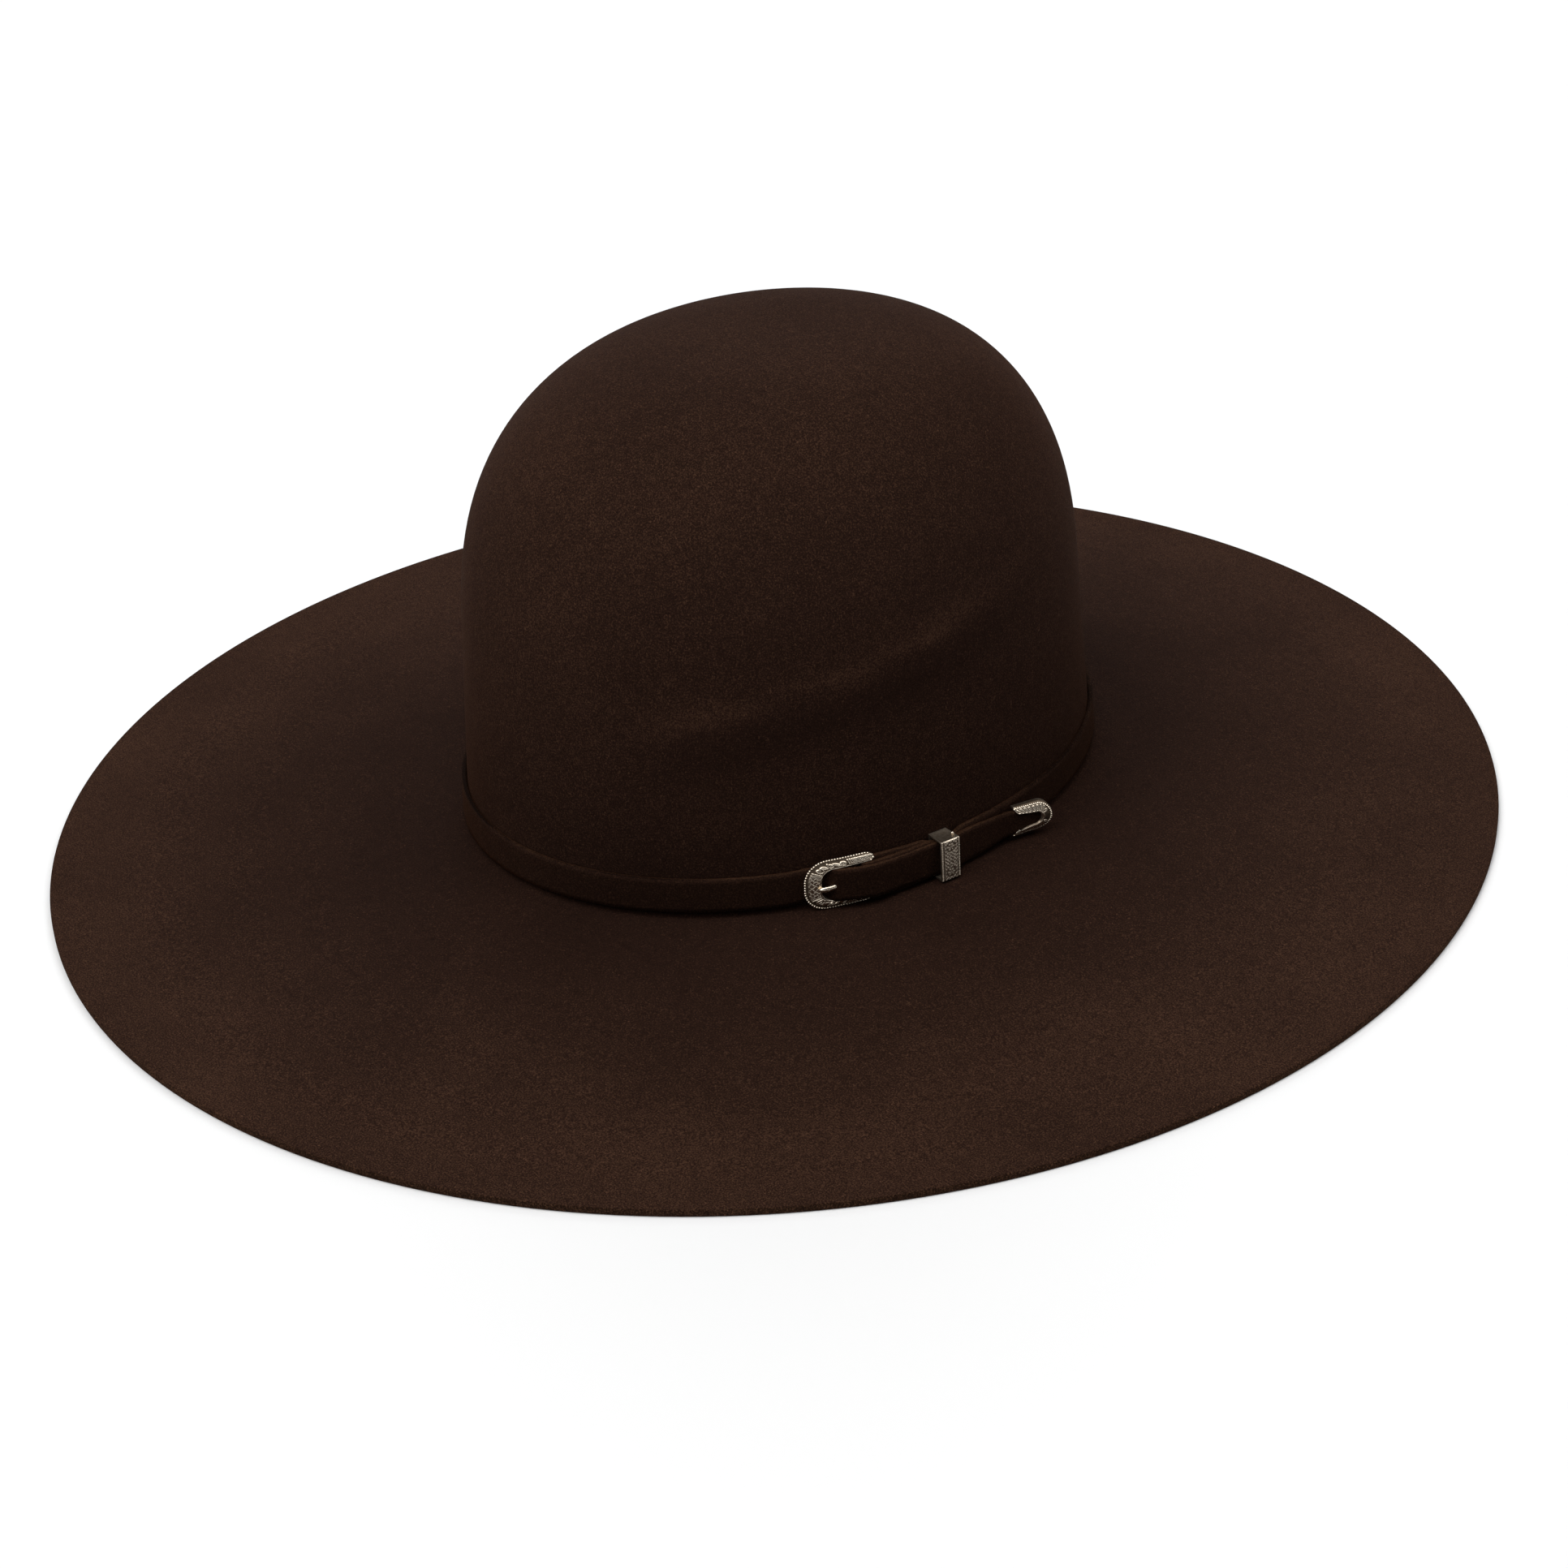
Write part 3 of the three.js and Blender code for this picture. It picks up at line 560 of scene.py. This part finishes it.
# %% Make the strap
ACROSS_STEPS = 8
EDGE_RAGGED = 0.12 * MM
line = strap_line()
strap = bmesh.new()
bmesh.ops.create_grid(strap, x_segments=len(line) - 1, y_segments=ACROSS_STEPS, size=0.5)
for vert in strap.verts:
    station = round((vert.co.x + 0.5) * (len(line) - 1))
    along, out = line[station]
    before, after = line[max(station - 1, 0)], line[min(station + 1, len(line) - 1)]
    side = Vector((before[1] - after[1], after[0] - before[0])).normalized()
    ragged = EDGE_RAGGED * noise.noise(Vector((along, vert.co.y, out)) / MM) * abs(vert.co.y) * 2
    across = vert.co.y + ragged / BAND_WIDTH
    half = BAND_THICK / 2
    vert.co = strap_point(along + side.x * half, across, out + side.y * half)
bmesh.ops.recalc_face_normals(strap, faces=strap.faces)
outermost = max(strap.faces, key=lambda face: face.calc_center_median().x)
if outermost.normal.x < 0:
    bmesh.ops.reverse_faces(strap, faces=strap.faces)
sheet_faces = len(strap.faces)
bmesh.ops.solidify(strap, geom=strap.faces, thickness=BAND_THICK)
for face in strap.faces:
    face.material_index = int(min(edge.calc_length() for edge in face.edges) > 0
                              and any(edge.calc_face_angle(0) > 1.2 for edge in face.edges)
                              and abs(face.normal.z) > 0.7)
print("strap faces:", sheet_faces, "in the sheet,", len(strap.faces), "with its thickness")
finish_piece(strap, "hat_band_soft", "hat_band", [strap_felt, raw_felt])

# %% [markdown]
# ## Antiqued silver
#
# The fittings are cast, plated with silver and dipped in a dark patina that is then polished
# off the high places. Polished silver stays bright and a little warm, while hollows are nearly
# black and dull. The relief is real geometry, and each point remembers how high it stands in
# the attribute `raised`, so the patina follows the casting wherever the light comes from.

# %% Silver material


def antiqued_silver():
    material, shader = new_material("antiqued_cast_silver")
    raised = add(material, "ShaderNodeAttribute", attribute_name="raised").outputs["Fac"]
    place = add(material, "ShaderNodeTexCoord").outputs["Object"]
    pits = add(material, "ShaderNodeTexNoise",
               {"Vector": place, "Scale": 1 / (0.9 * MM), "Detail": 4, "Roughness": 0.6})
    worn = add(material, "ShaderNodeMath", {0: pits.outputs["Fac"], 1: 0.35, 2: raised},
               operation="MULTIPLY_ADD")
    metal = ramp(material, worn.outputs["Value"],
                 [(0.2, "#221810"), (0.52, "#837362"), (0.88, "#eee0cc")])
    link(material, metal, shader, "Base Color")
    dull = add(material, "ShaderNodeMapRange",
               {"Value": worn.outputs["Value"], "From Min": 0.2, "From Max": 1.0,
                "To Min": 0.6, "To Max": 0.26})
    link(material, dull.outputs["Result"], shader, "Roughness")
    bump = add(material, "ShaderNodeBump",
               {"Height": pits.outputs["Fac"], "Strength": 0.25, "Distance": 0.08 * MM})
    link(material, bump.outputs["Normal"], shader, "Normal")
    shader.inputs["Metallic"].default_value = 1
    return material


silver = antiqued_silver()

# %% [markdown]
# ## Relief
#
# The engraver's patterns are worked out as heights. A braid of flat strands is two sets of
# slanting ridges that pass over each other in turn, and a scroll is a ridge that follows a
# spiral. Each function takes a place on the metal in millimetres and gives a height from 0 to 1.

# %% Patterns of the relief


def braid(p, q, strand=1.0):
    """Two sets of slanting strands that pass over and under each other."""
    one, other = (p + q) / strand, (p - q) / strand
    over = (math.floor(one) + math.floor(other)) % 2 == 0
    ridge = abs(math.sin(math.pi * (one if over else other)))
    return ridge ** 0.6


def scroll(p, q, middle, size, turn=1.0, start=0.0):
    """A ridge along a spiral that winds in towards its middle, with an eye."""
    dp, dq = p - middle[0], q - middle[1]
    reach = math.hypot(dp, dq)
    if reach > size * 1.25:
        return 0.0
    angle = (turn * math.atan2(dq, dp) - start) % (2 * math.pi)
    spiral = size * (1 - angle / (2 * math.pi) * 0.55)
    ridge = math.exp(-((reach - spiral) / (0.23 * size)) ** 2)
    eye = math.exp(-(reach / (0.24 * size)) ** 2)
    return max(ridge, eye)


def leaf(p, q, root, tip, width):
    """A leaf with a groove along its middle."""
    axis = Vector(tip) - Vector(root)
    share = (Vector((p, q)) - Vector(root)).dot(axis) / axis.length_squared
    if not 0 < share < 1:
        return 0.0
    off = abs((Vector((p, q)) - Vector(root)).cross(axis)) / axis.length
    half = width * math.sin(math.pi * share) ** 0.7 + 1e-6
    if off > half:
        return 0.0
    return (1 - (off / half) ** 2) * (0.6 + 0.4 * min(off / (0.3 * half), 1))


def bars(p, places, half=0.22):
    """Plain bars across the metal."""
    return max(math.exp(-((p - place) / half) ** 2) for place in places)


# %% [markdown]
# ## A horseshoe plate
#
# The buckle's frame and the strap's tip are both horseshoes: a closed end and two arms. A grid
# is laid between the outer and the inner edge of the horseshoe, so that one of its directions
# follows the metal round and the other crosses it. Relief can then be laid on as a height, and
# a border of beads follows the outer edge, as a rope edge does on such castings.

# %% Horseshoe edges


def horseshoe(height, arm, end, corner, opening_corner, arm_end, end_form, taper=0):
    """Matching stretches of the outer and inner edge, from the upper arm's end to the lower's,
    and a function for how far the arm's end stands out at a share from its outer edge."""
    top, inside = height / 2, height / 2 - arm
    turn_in = end + opening_corner
    upper = [
        ("line", ((arm_end, top), (corner, top)), ((arm_end, inside + taper), (turn_in, inside))),
        ("arc", ((corner, top - corner), corner), ((turn_in, inside - opening_corner), opening_corner)),
        ("line", ((0, top - corner), (0, 0)), ((end, inside - opening_corner), (end, 0))),
    ]
    return upper, end_form


def edge_point(kind, data, share):
    if kind == "line":
        return Vector(data[0]).lerp(Vector(data[1]), share)
    (x, y), radius = data
    angle = math.pi / 2 * (1 + share)
    return Vector((x + radius * math.cos(angle), y + radius * math.sin(angle)))


def stretch_length(kind, data):
    if kind == "line":
        return (Vector(data[0]) - Vector(data[1])).length
    return math.pi / 2 * data[1]


def horseshoe_point(shape, s, t):
    """A point at share s of the metal's length and share t from the outer to the inner edge,
    with its distance along the outer edge from the closed end's middle."""
    upper, end_form = shape
    mirrored = s > 0.5
    part = (1 - s if mirrored else s) * 2
    lengths = [stretch_length(kind, outer) + stretch_length(kind, inner) for kind, outer, inner in upper]
    place = part * sum(lengths)
    for i, (kind, outer, inner) in enumerate(upper):
        if place <= lengths[i] or i == len(upper) - 1:
            break
        place -= lengths[i]
    share = min(place / lengths[i], 1)
    point = edge_point(kind, outer, share).lerp(edge_point(kind, inner, share), t)
    if i == 0:
        point.x += (1 - share) ** 2 * end_form(t)
    outer_left = (1 - share) * stretch_length(kind, outer)
    outer_left += sum(stretch_length(k, o) for k, o, _ in upper[i + 1:])
    if mirrored:
        point.y = -point.y
        outer_left = -outer_left
    return point, outer_left


# %% A casting from a horseshoe grid
SIDE_POLISH = 0.5


def casting(shape, steps_along, steps_across, height_at, depth):
    """The face of a horseshoe with its relief, and its sides down to the back."""
    bm = bmesh.new()
    bmesh.ops.create_grid(bm, x_segments=steps_along, y_segments=steps_across, size=0.5)
    raised = bm.verts.layers.float.new("raised")
    for vert in bm.verts:
        s, t = vert.co.x + 0.5, vert.co.y + 0.5
        point, along = horseshoe_point(shape, s, t)
        height, bright = height_at(along / MM, t)
        vert.co = Vector((point.x, point.y, height))
        vert[raised] = bright
    bmesh.ops.recalc_face_normals(bm, faces=bm.faces)
    if sum(face.normal.z for face in bm.faces) < 0:
        bmesh.ops.reverse_faces(bm, faces=bm.faces)
    rim = [edge for edge in bm.edges if edge.is_boundary]
    skirt = bmesh.ops.extrude_edge_only(bm, edges=rim)["geom"]
    lower = [item for item in skirt if isinstance(item, bmesh.types.BMVert)]
    for vert in lower:
        vert.co.z = -depth
        vert[raised] = SIDE_POLISH
    back = [edge for edge in bm.edges if edge.is_boundary]
    bmesh.ops.contextual_create(bm, geom=back)
    bmesh.ops.recalc_face_normals(bm, faces=bm.faces)
    return bm


def add_bead(bm, place, radius, brightness=1.0):
    """A round bead. Its patina lies where it meets the casting."""
    raised = bm.verts.layers.float["raised"]
    matrix = Matrix.Translation(place)
    made = bmesh.ops.create_icosphere(bm, subdivisions=2, radius=radius, matrix=matrix)
    for vert in made["verts"]:
        vert[raised] = brightness * min(1, 0.45 + 0.75 * max(0, (vert.co.z - place.z) / radius))


def rope_border(bm, shape, inset, bead_radius, pitch, height_at):
    """Beads side by side along the outer edge."""
    upper = shape[0]
    total = 2 * sum(stretch_length(kind, outer) for kind, outer, _ in upper)
    count = round(total / pitch)
    arm_width = stretch_length("line", (upper[0][1][0], upper[0][2][0]))
    samples = [horseshoe_point(shape, i / 600, inset / arm_width) for i in range(601)]
    for i in range(count + 1):
        wanted = total * (0.5 - i / count)
        point, along = min(samples, key=lambda sample: abs(sample[1] - wanted))
        height = height_at(along / MM, inset / arm_width)[0]
        add_bead(bm, Vector((point.x, point.y, height)), bead_radius)


def rope_round_ends(bm, shape, arm_width, bead_radius, pitch, height_at):
    """Carries the beads on round the ends of both arms."""
    beads = round(1.2 * arm_width / pitch)
    for s in (0, 1):
        for i in range(1, beads + 1):
            t = 0.5 * (1 - math.cos(0.75 * math.pi * i / beads))
            point, along = horseshoe_point(shape, s, t)
            add_bead(bm, Vector((point.x - 0.2 * MM, point.y, height_at(along / MM, t)[0])), bead_radius)


# %% [markdown]
# ## The buckle's frame
#
# The frame's face is domed: it is highest near the opening and falls away to the rope border,
# so light runs along the inner lip. The closed end carries a braid between bars, the corners a
# scroll, the arms a leaf and another scroll, and their rounded ends a second braid.

# %% Relief of the frame
FRAME_DOME = 0.75 * MM
RELIEF = 0.26 * MM


def round_end(t):
    return ARM_WIDTH * math.sqrt(max(1 - (2 * t - 1) ** 2, 0)) - 0.3 * MM * (1 - t)


frame_shape = horseshoe(FRAME_HEIGHT, ARM_WIDTH, FRAME_END, FRAME_CORNER, OPENING_CORNER,
                        FRAME_LENGTH - 0.9 * ARM_WIDTH, round_end, taper=0.25 * MM)


def frame_height(along, t):
    """Height of the frame's face over its border, and how bright it is polished."""
    p, q = abs(along), t * 3.6
    dome = FRAME_DOME * math.sin(math.pi / 2 * min(t / 0.85, 1))
    lip = math.exp(-((t - 0.93) / 0.06) ** 2)
    inside = min(max((t - 0.17) / 0.05, 0), 1) if t < 0.86 else 0
    if p < 3.9:
        pattern = braid(along, q * 1.1, 1.55)
    elif p < 5.3:
        pattern = bars(p, (4.25, 5.0), 0.24)
    elif p < 10.2:
        pattern = max(scroll(p, q, (6.7, 2.0), 1.15), leaf(p, q, (7.5, 1.3), (10.1, 2.7), 0.85),
                      leaf(p, q, (5.6, 2.8), (7.4, 3.0), 0.45))
    elif p < 16.2:
        pattern = max(scroll(p, q, (11.2, 2.0), 1.05, -1, 2.0), leaf(p, q, (12.0, 1.3), (14.4, 2.7), 0.8),
                      scroll(p, q, (15.1, 1.9), 0.95, 1, 1.0))
    elif p < 17.4:
        pattern = bars(p, (16.5, 17.1), 0.18)
    else:
        pattern = braid(p, q, 1.3)
    raised = max(lip, inside * min(1.5 * pattern, 1))
    edge_drop = 0.35 * MM * math.exp(-((1 - t) / 0.035) ** 2)
    return dome + RELIEF * raised - edge_drop - 0.15 * MM, 0.24 + 0.7 * raised


# %% Make the frame
FRAME_BACK = 0.8 * MM
FRAME_BEAD_INSET = 0.02 * MM
FRAME_BEAD = 0.36 * MM
FRAME_END_BEAD = 0.34 * MM
FRAME_BEAD_PITCH = 0.8 * MM
buckle = casting(frame_shape, 420, 30, frame_height, FRAME_BACK)
rope_border(buckle, frame_shape, FRAME_BEAD_INSET, FRAME_BEAD, FRAME_BEAD_PITCH, frame_height)
rope_round_ends(buckle, frame_shape, ARM_WIDTH, FRAME_END_BEAD, FRAME_BEAD_PITCH, frame_height)
raised = buckle.verts.layers.float["raised"]
bar_place = (Matrix.Translation((bar_at - BUCKLE_AT, 0, bar_out - frame_face + FRAME_DOME))
             @ Matrix.Rotation(math.pi / 2, 4, "X"))
made = bmesh.ops.create_cone(buckle, cap_ends=True, segments=20, radius1=BAR_RADIUS, radius2=BAR_RADIUS,
                             depth=FRAME_HEIGHT - ARM_WIDTH, matrix=bar_place)
for vert in made["verts"]:
    vert[raised] = 0.7
bmesh.ops.translate(buckle, verts=buckle.verts, vec=(BUCKLE_AT, FRAME_CENTRE, frame_face - FRAME_DOME))
bend_round_crown(buckle)
finish_piece(buckle, "buckle_frame_cast", "buckle_frame", [silver])

# %% [markdown]
# ## The tongue
#
# The tongue is a short rounded rod with an eye that turns on the bar. It comes out through the
# strap, whose hole is hidden under it and isn't cut here, and rests with its point on the
# frame's closed end. A cylinder is cut across in a loop, and its slices are moved along the
# tongue and narrowed at its point.

# %% Make the tongue
TONGUE_WIDTH = 1.9 * MM
TONGUE_THICK = 1.5 * MM
TONGUE_REST = 1.2 * MM
TONGUE_STEPS = 24
TONGUE_EYE = 1.6 * MM
tongue_point = BUCKLE_AT + FRAME_END - TONGUE_REST
tongue_high = frame_face + 0.6 * MM
tongue = bmesh.new()
raised = tongue.verts.layers.float.new("raised")
bmesh.ops.create_cone(tongue, cap_ends=True, segments=18, radius1=0.5, radius2=0.5, depth=1)
bmesh.ops.bisect_plane(tongue, geom=tongue.verts[:] + tongue.edges[:] + tongue.faces[:],
                       plane_co=(0, 0, 0), plane_no=(0, 0, 1))
for i in range(1, TONGUE_STEPS):
    bmesh.ops.bisect_plane(tongue, geom=tongue.verts[:] + tongue.edges[:] + tongue.faces[:],
                           plane_co=(0, 0, i / TONGUE_STEPS - 0.5), plane_no=(0, 0, 1))
for vert in tongue.verts:
    share = 0.5 - vert.co.z
    taper = math.sqrt(max(1 - (max(share - 0.86, 0) / 0.14) ** 2, 0.02))
    middle = bar_out + (tongue_high - bar_out) * min(share * 1.25, 1) ** 1.6
    vert.co = Vector((bar_at + (tongue_point - bar_at) * share,
                      BAND_CENTRE + vert.co.x * TONGUE_WIDTH * taper * (1 - 0.15 * share),
                      middle + vert.co.y * TONGUE_THICK * taper))
    vert[raised] = 0.95
made = bmesh.ops.create_cone(tongue, cap_ends=True, segments=24, radius1=TONGUE_EYE, radius2=TONGUE_EYE,
                             depth=TONGUE_WIDTH,
                             matrix=Matrix.Translation((bar_at, BAND_CENTRE, bar_out))
                             @ Matrix.Rotation(math.pi / 2, 4, "X"))
for vert in made["verts"]:
    vert[raised] = 0.7
bmesh.ops.recalc_face_normals(tongue, faces=tongue.faces)
bend_round_crown(tongue)
finish_piece(tongue, "buckle_tongue_cast", "buckle_tongue", [silver])

# %% [markdown]
# ## The keeper
#
# The keeper is a square loop that holds all layers of the strap. A cube is hollowed through by
# an inset of its two ends and a bridge between them. Its top and bottom are sunk to a shallow
# panel and its edges are bevelled. Its face gets a plate with a braid, a small rosette at each
# end and a rope border down both sides.

# %% Make the keeper's loop
KEEPER_SOFT = 0.22 * MM
PANEL_FRAME = 0.85 * MM
PANEL_SUNK = 0.24 * MM
keeper = bmesh.new()
raised = keeper.verts.layers.float.new("raised")
bmesh.ops.create_cube(keeper, size=1)
bmesh.ops.scale(keeper, verts=keeper.verts, vec=(KEEPER_LENGTH, KEEPER_HEIGHT, KEEPER_DEPTH))
ends = [face for face in keeper.faces if abs(face.normal.x) > 0.9]
bmesh.ops.inset_individual(keeper, faces=ends, thickness=METAL_WALL, use_even_offset=True)
mouths = [face for face in keeper.faces if abs(face.normal.x) > 0.9
          and abs(face.calc_center_median().y) < MM and abs(face.calc_center_median().z) < MM]
rims = [edge for face in mouths for edge in face.edges]
bmesh.ops.delete(keeper, geom=mouths, context="FACES_ONLY")
bmesh.ops.bridge_loops(keeper, edges=rims)
bmesh.ops.recalc_face_normals(keeper, faces=keeper.faces)
outside = [face for face in keeper.faces if abs(face.calc_center_median().y) > 0.49 * KEEPER_HEIGHT]
bmesh.ops.inset_individual(keeper, faces=outside, thickness=PANEL_FRAME, depth=-PANEL_SUNK)
sharp = [edge for edge in keeper.edges if edge.calc_face_angle(0) > 1]
bmesh.ops.bevel(keeper, geom=sharp, offset=KEEPER_SOFT, offset_type="OFFSET", segments=3, profile=0.5,
                affect="EDGES", material=-1)
for vert in keeper.verts:
    in_panel = abs(vert.co.y) > 0.4 * KEEPER_HEIGHT and abs(vert.co.y) < KEEPER_HEIGHT / 2 - 0.9 * PANEL_SUNK
    vert[raised] = 0.4 if in_panel else 0.7
print("keeper's loop:", len(keeper.faces), "faces")

# %% Relief of the keeper's face
ROSETTE_AT = 4.1
ROSETTE_RADIUS = 1.45


def rosette(p, q):
    """A small flower of six petals round an eye."""
    reach = math.hypot(p, q)
    if reach > ROSETTE_RADIUS:
        return 0.0
    petals = 0.65 + 0.35 * math.cos(6 * math.atan2(q, p))
    return max(math.exp(-(reach / 0.3) ** 2), petals * math.sin(math.pi * reach / ROSETTE_RADIUS) ** 0.7)


def keeper_relief(x, y):
    """Height from 0 to 1 at a place on the face, in millimetres from its middle."""
    flower = max(rosette(x, y - ROSETTE_AT), rosette(x, y + ROSETTE_AT))
    if abs(x) > 2.25:
        return 0.0
    if min(math.hypot(x, y - ROSETTE_AT), math.hypot(x, y + ROSETTE_AT)) < ROSETTE_RADIUS + 0.1:
        return flower
    return braid(y, x + 0.6, 1.15)


# %% Lay the relief on the keeper
FACE_EDGE = 0.35 * MM
plate = bmesh.ops.create_grid(keeper, x_segments=44, y_segments=88, size=0.5)
for vert in plate["verts"]:
    x = vert.co.x * (KEEPER_LENGTH - FACE_EDGE)
    y = vert.co.y * (KEEPER_HEIGHT - FACE_EDGE)
    height = keeper_relief(x / MM, y / MM)
    at_edge = max(abs(vert.co.x), abs(vert.co.y)) > 0.49
    vert.co = Vector((x, y, KEEPER_DEPTH / 2 + (-0.05 * MM if at_edge else 0.02 * MM + RELIEF * height)))
    vert[raised] = 0.3 + 0.45 * height
BEAD_PITCH = 0.6 * MM
beads_up = round((KEEPER_HEIGHT - FACE_EDGE) / BEAD_PITCH)
for side in (-1, 1):
    for i in range(beads_up + 1):
        y = (i / beads_up - 0.5) * (KEEPER_HEIGHT - 0.9 * MM)
        add_bead(keeper, Vector((side * (KEEPER_LENGTH / 2 - 0.35 * MM), y, KEEPER_DEPTH / 2)), 0.29 * MM,
                 brightness=0.6)
add_bead(keeper, Vector((KEEPER_LENGTH / 2 - 0.6 * MM, KEEPER_HEIGHT / 2, KEEPER_DEPTH * 0.1)), 0.5 * MM)
bmesh.ops.translate(keeper, verts=keeper.verts,
                    vec=(keeper_at + KEEPER_LENGTH / 2, KEEPER_CENTRE, GAP + KEEPER_DEPTH / 2))
bend_round_crown(keeper)
finish_piece(keeper, "keeper_cast", "keeper", [silver])

# %% [markdown]
# ## The strap's tip
#
# The tip is a horseshoe cap turned the other way round, so the same casting function serves.
# It is as deep as the strap, two metal walls and a little room between them. Its side is plain,
# beads run just inside its outer edge, a scroll lies on its closed end and short strokes are
# cut across its arms. The real one is hollow, but here it is closed and the strap runs into it,
# which doesn't show.

# %% Make the tip
TIP_SCOOP = 2.2 * MM
TIP_DOME = 1.7 * MM
TIP_BEAD_INSET = 0.35 * MM
TIP_BEAD = 0.3 * MM
TIP_BEAD_PITCH = 0.7 * MM
tip_depth = BAND_THICK + 2 * GAP + 2 * METAL_WALL
tip_half_run = TIP_LENGTH - TIP_HEIGHT / 2 + math.pi / 2 * TIP_HEIGHT / 2


def scooped_end(t):
    return -TIP_SCOOP * (1 - math.sqrt(1 - min(t, 1) ** 2))


tip_shape = horseshoe(TIP_HEIGHT, TIP_ARM, TIP_END, TIP_HEIGHT / 2 - 0.05 * MM,
                      TIP_HEIGHT / 2 - TIP_ARM - 0.05 * MM, TIP_LENGTH, scooped_end, taper=0.8 * MM)


def tip_height(along, t):
    p, q = abs(along), t * 3.2
    to_end = tip_half_run / MM - p
    lip = max(math.exp(-((t - 0.9) / 0.08) ** 2), math.exp(-(to_end / 0.45) ** 2))
    inside = 1 if 0.3 < t < 0.84 and to_end > 0.6 else 0
    strokes = abs(math.sin(math.pi * (p + 0.7 * q) / 1.5)) ** 0.8
    vine = scroll(p, q, (3.0, 1.9), 0.9) if p < 4.0 else strokes
    raised = max(lip, inside * vine)
    drop = 0.4 * MM * math.exp(-(t / 0.06) ** 2)
    return RELIEF * raised - drop - 0.1 * MM, 0.2 + 0.72 * raised


tip = casting(tip_shape, 260, 26, tip_height, tip_depth)
rope_border(tip, tip_shape, TIP_BEAD_INSET, TIP_BEAD, TIP_BEAD_PITCH, tip_height)
for vert in tip.verts:
    vert.co.z -= TIP_DOME * (2 * vert.co.y / TIP_HEIGHT) ** 2 * min(1 + vert.co.z / tip_depth, 1)
to_strap = (loose_end @ Matrix.Translation((STRAIGHT_LEAD + TIP_LENGTH, 0, tip_depth / 2))
            @ Matrix.Diagonal((-1, 1, 1, 1)))
bmesh.ops.transform(tip, matrix=to_strap, verts=tip.verts)
bmesh.ops.recalc_face_normals(tip, faces=tip.faces)
finish_piece(tip, "strap_tip_cast", "strap_tip", [silver])

# %% [markdown]
# ## Floor, light and camera
#
# The hat lies on a plain pale floor that runs out of the picture. Wide suns stand for large
# soft lamps: one overhead, one to each side, one in front and one low behind, which gives the
# dome its pale edge. A pale world lies behind the floor in low views, but lights the hat only
# weakly, to fill the shadows. The camera looks down on the hat's left front.

# %% Floor
FLOOR_SIZE = 60
FLOOR_GAP = 0.1 * MM
floor_mesh = bmesh.new()
bmesh.ops.create_grid(floor_mesh, x_segments=1, y_segments=1, size=FLOOR_SIZE / 2,
                      matrix=Matrix.Translation((0, 0, -FLOOR_GAP)))
mesh = bpy.data.meshes.new("floor")
floor_mesh.to_mesh(mesh)
floor_mesh.free()
paper, paper_shader = new_material("pale_paper")
paper_shader.inputs["Base Color"].default_value = colour("#e6e6e6")
paper_shader.inputs["Roughness"].default_value = 0.9
mesh.materials.append(paper)
floor = bpy.data.objects.new("floor", mesh)
bpy.context.scene.collection.objects.link(floor)

# %% Light


def soft_sun(name, strength, tilt, turn, width):
    """A wide sun, tilted away from overhead towards a side of the hat, in degrees."""
    lamp = bpy.data.lights.new(name, "SUN")
    lamp.energy = strength
    lamp.angle = math.radians(width)
    sun = bpy.data.objects.new(name, lamp)
    sun.rotation_euler = (math.radians(tilt), 0, math.radians(turn))
    bpy.context.scene.collection.objects.link(sun)


soft_sun("top_lamp", 1.3, 8, 0, 45)
soft_sun("left_lamp", 0.55, 38, -39, 40)
soft_sun("right_lamp", 0.85, 38, 141, 40)
soft_sun("front_lamp", 1.15, 38, 6, 40)
soft_sun("back_lamp", 1.0, 62, -129, 40)
world = bpy.data.worlds.new("pale_room")
world.use_nodes = True
room = world.node_tree.nodes["Background"]
room.inputs["Color"].default_value = colour("#f4f4f4")
seen = add(world, "ShaderNodeLightPath").outputs["Is Camera Ray"]
room_light = add(world, "ShaderNodeMath", {0: seen, 1: 0.95, 2: 0.12}, operation="MULTIPLY_ADD")
world.node_tree.links.new(room_light.outputs["Value"], room.inputs["Strength"])
bpy.context.scene.world = world
bpy.context.scene.view_settings.view_transform = "Standard"

# %% Camera
CAMERA_TURN = math.radians(50.7)
CAMERA_RISE = math.radians(24.75)
CAMERA_ROLL = math.radians(-2.34)
CAMERA_DISTANCE = 797.4 * MM
LOOK_HEIGHT = 68.7 * MM
AIM_RIGHT = 0.5 * MM
AIM_UP = -63.7 * MM
LENS = 59.73
away = Vector((math.sin(CAMERA_TURN) * math.cos(CAMERA_RISE),
               -math.cos(CAMERA_TURN) * math.cos(CAMERA_RISE), math.sin(CAMERA_RISE)))
right = Vector((math.cos(CAMERA_TURN), math.sin(CAMERA_TURN), 0))
camera_place = Vector((0, 0, LOOK_HEIGHT)) + away * CAMERA_DISTANCE
aim = Vector((0, 0, LOOK_HEIGHT)) + right * AIM_RIGHT + away.cross(right) * AIM_UP
camera = bpy.data.objects.new("camera", bpy.data.cameras.new("camera"))
camera.data.lens = LENS
camera.data.sensor_width = 36
camera.data.clip_end = 100
facing = (camera_place - aim).to_track_quat("Z", "Y").to_matrix() @ Matrix.Rotation(CAMERA_ROLL, 3, "Z")
camera.matrix_world = Matrix.Translation(camera_place) @ facing.to_4x4()
bpy.context.scene.collection.objects.link(camera)
bpy.context.scene.camera = camera
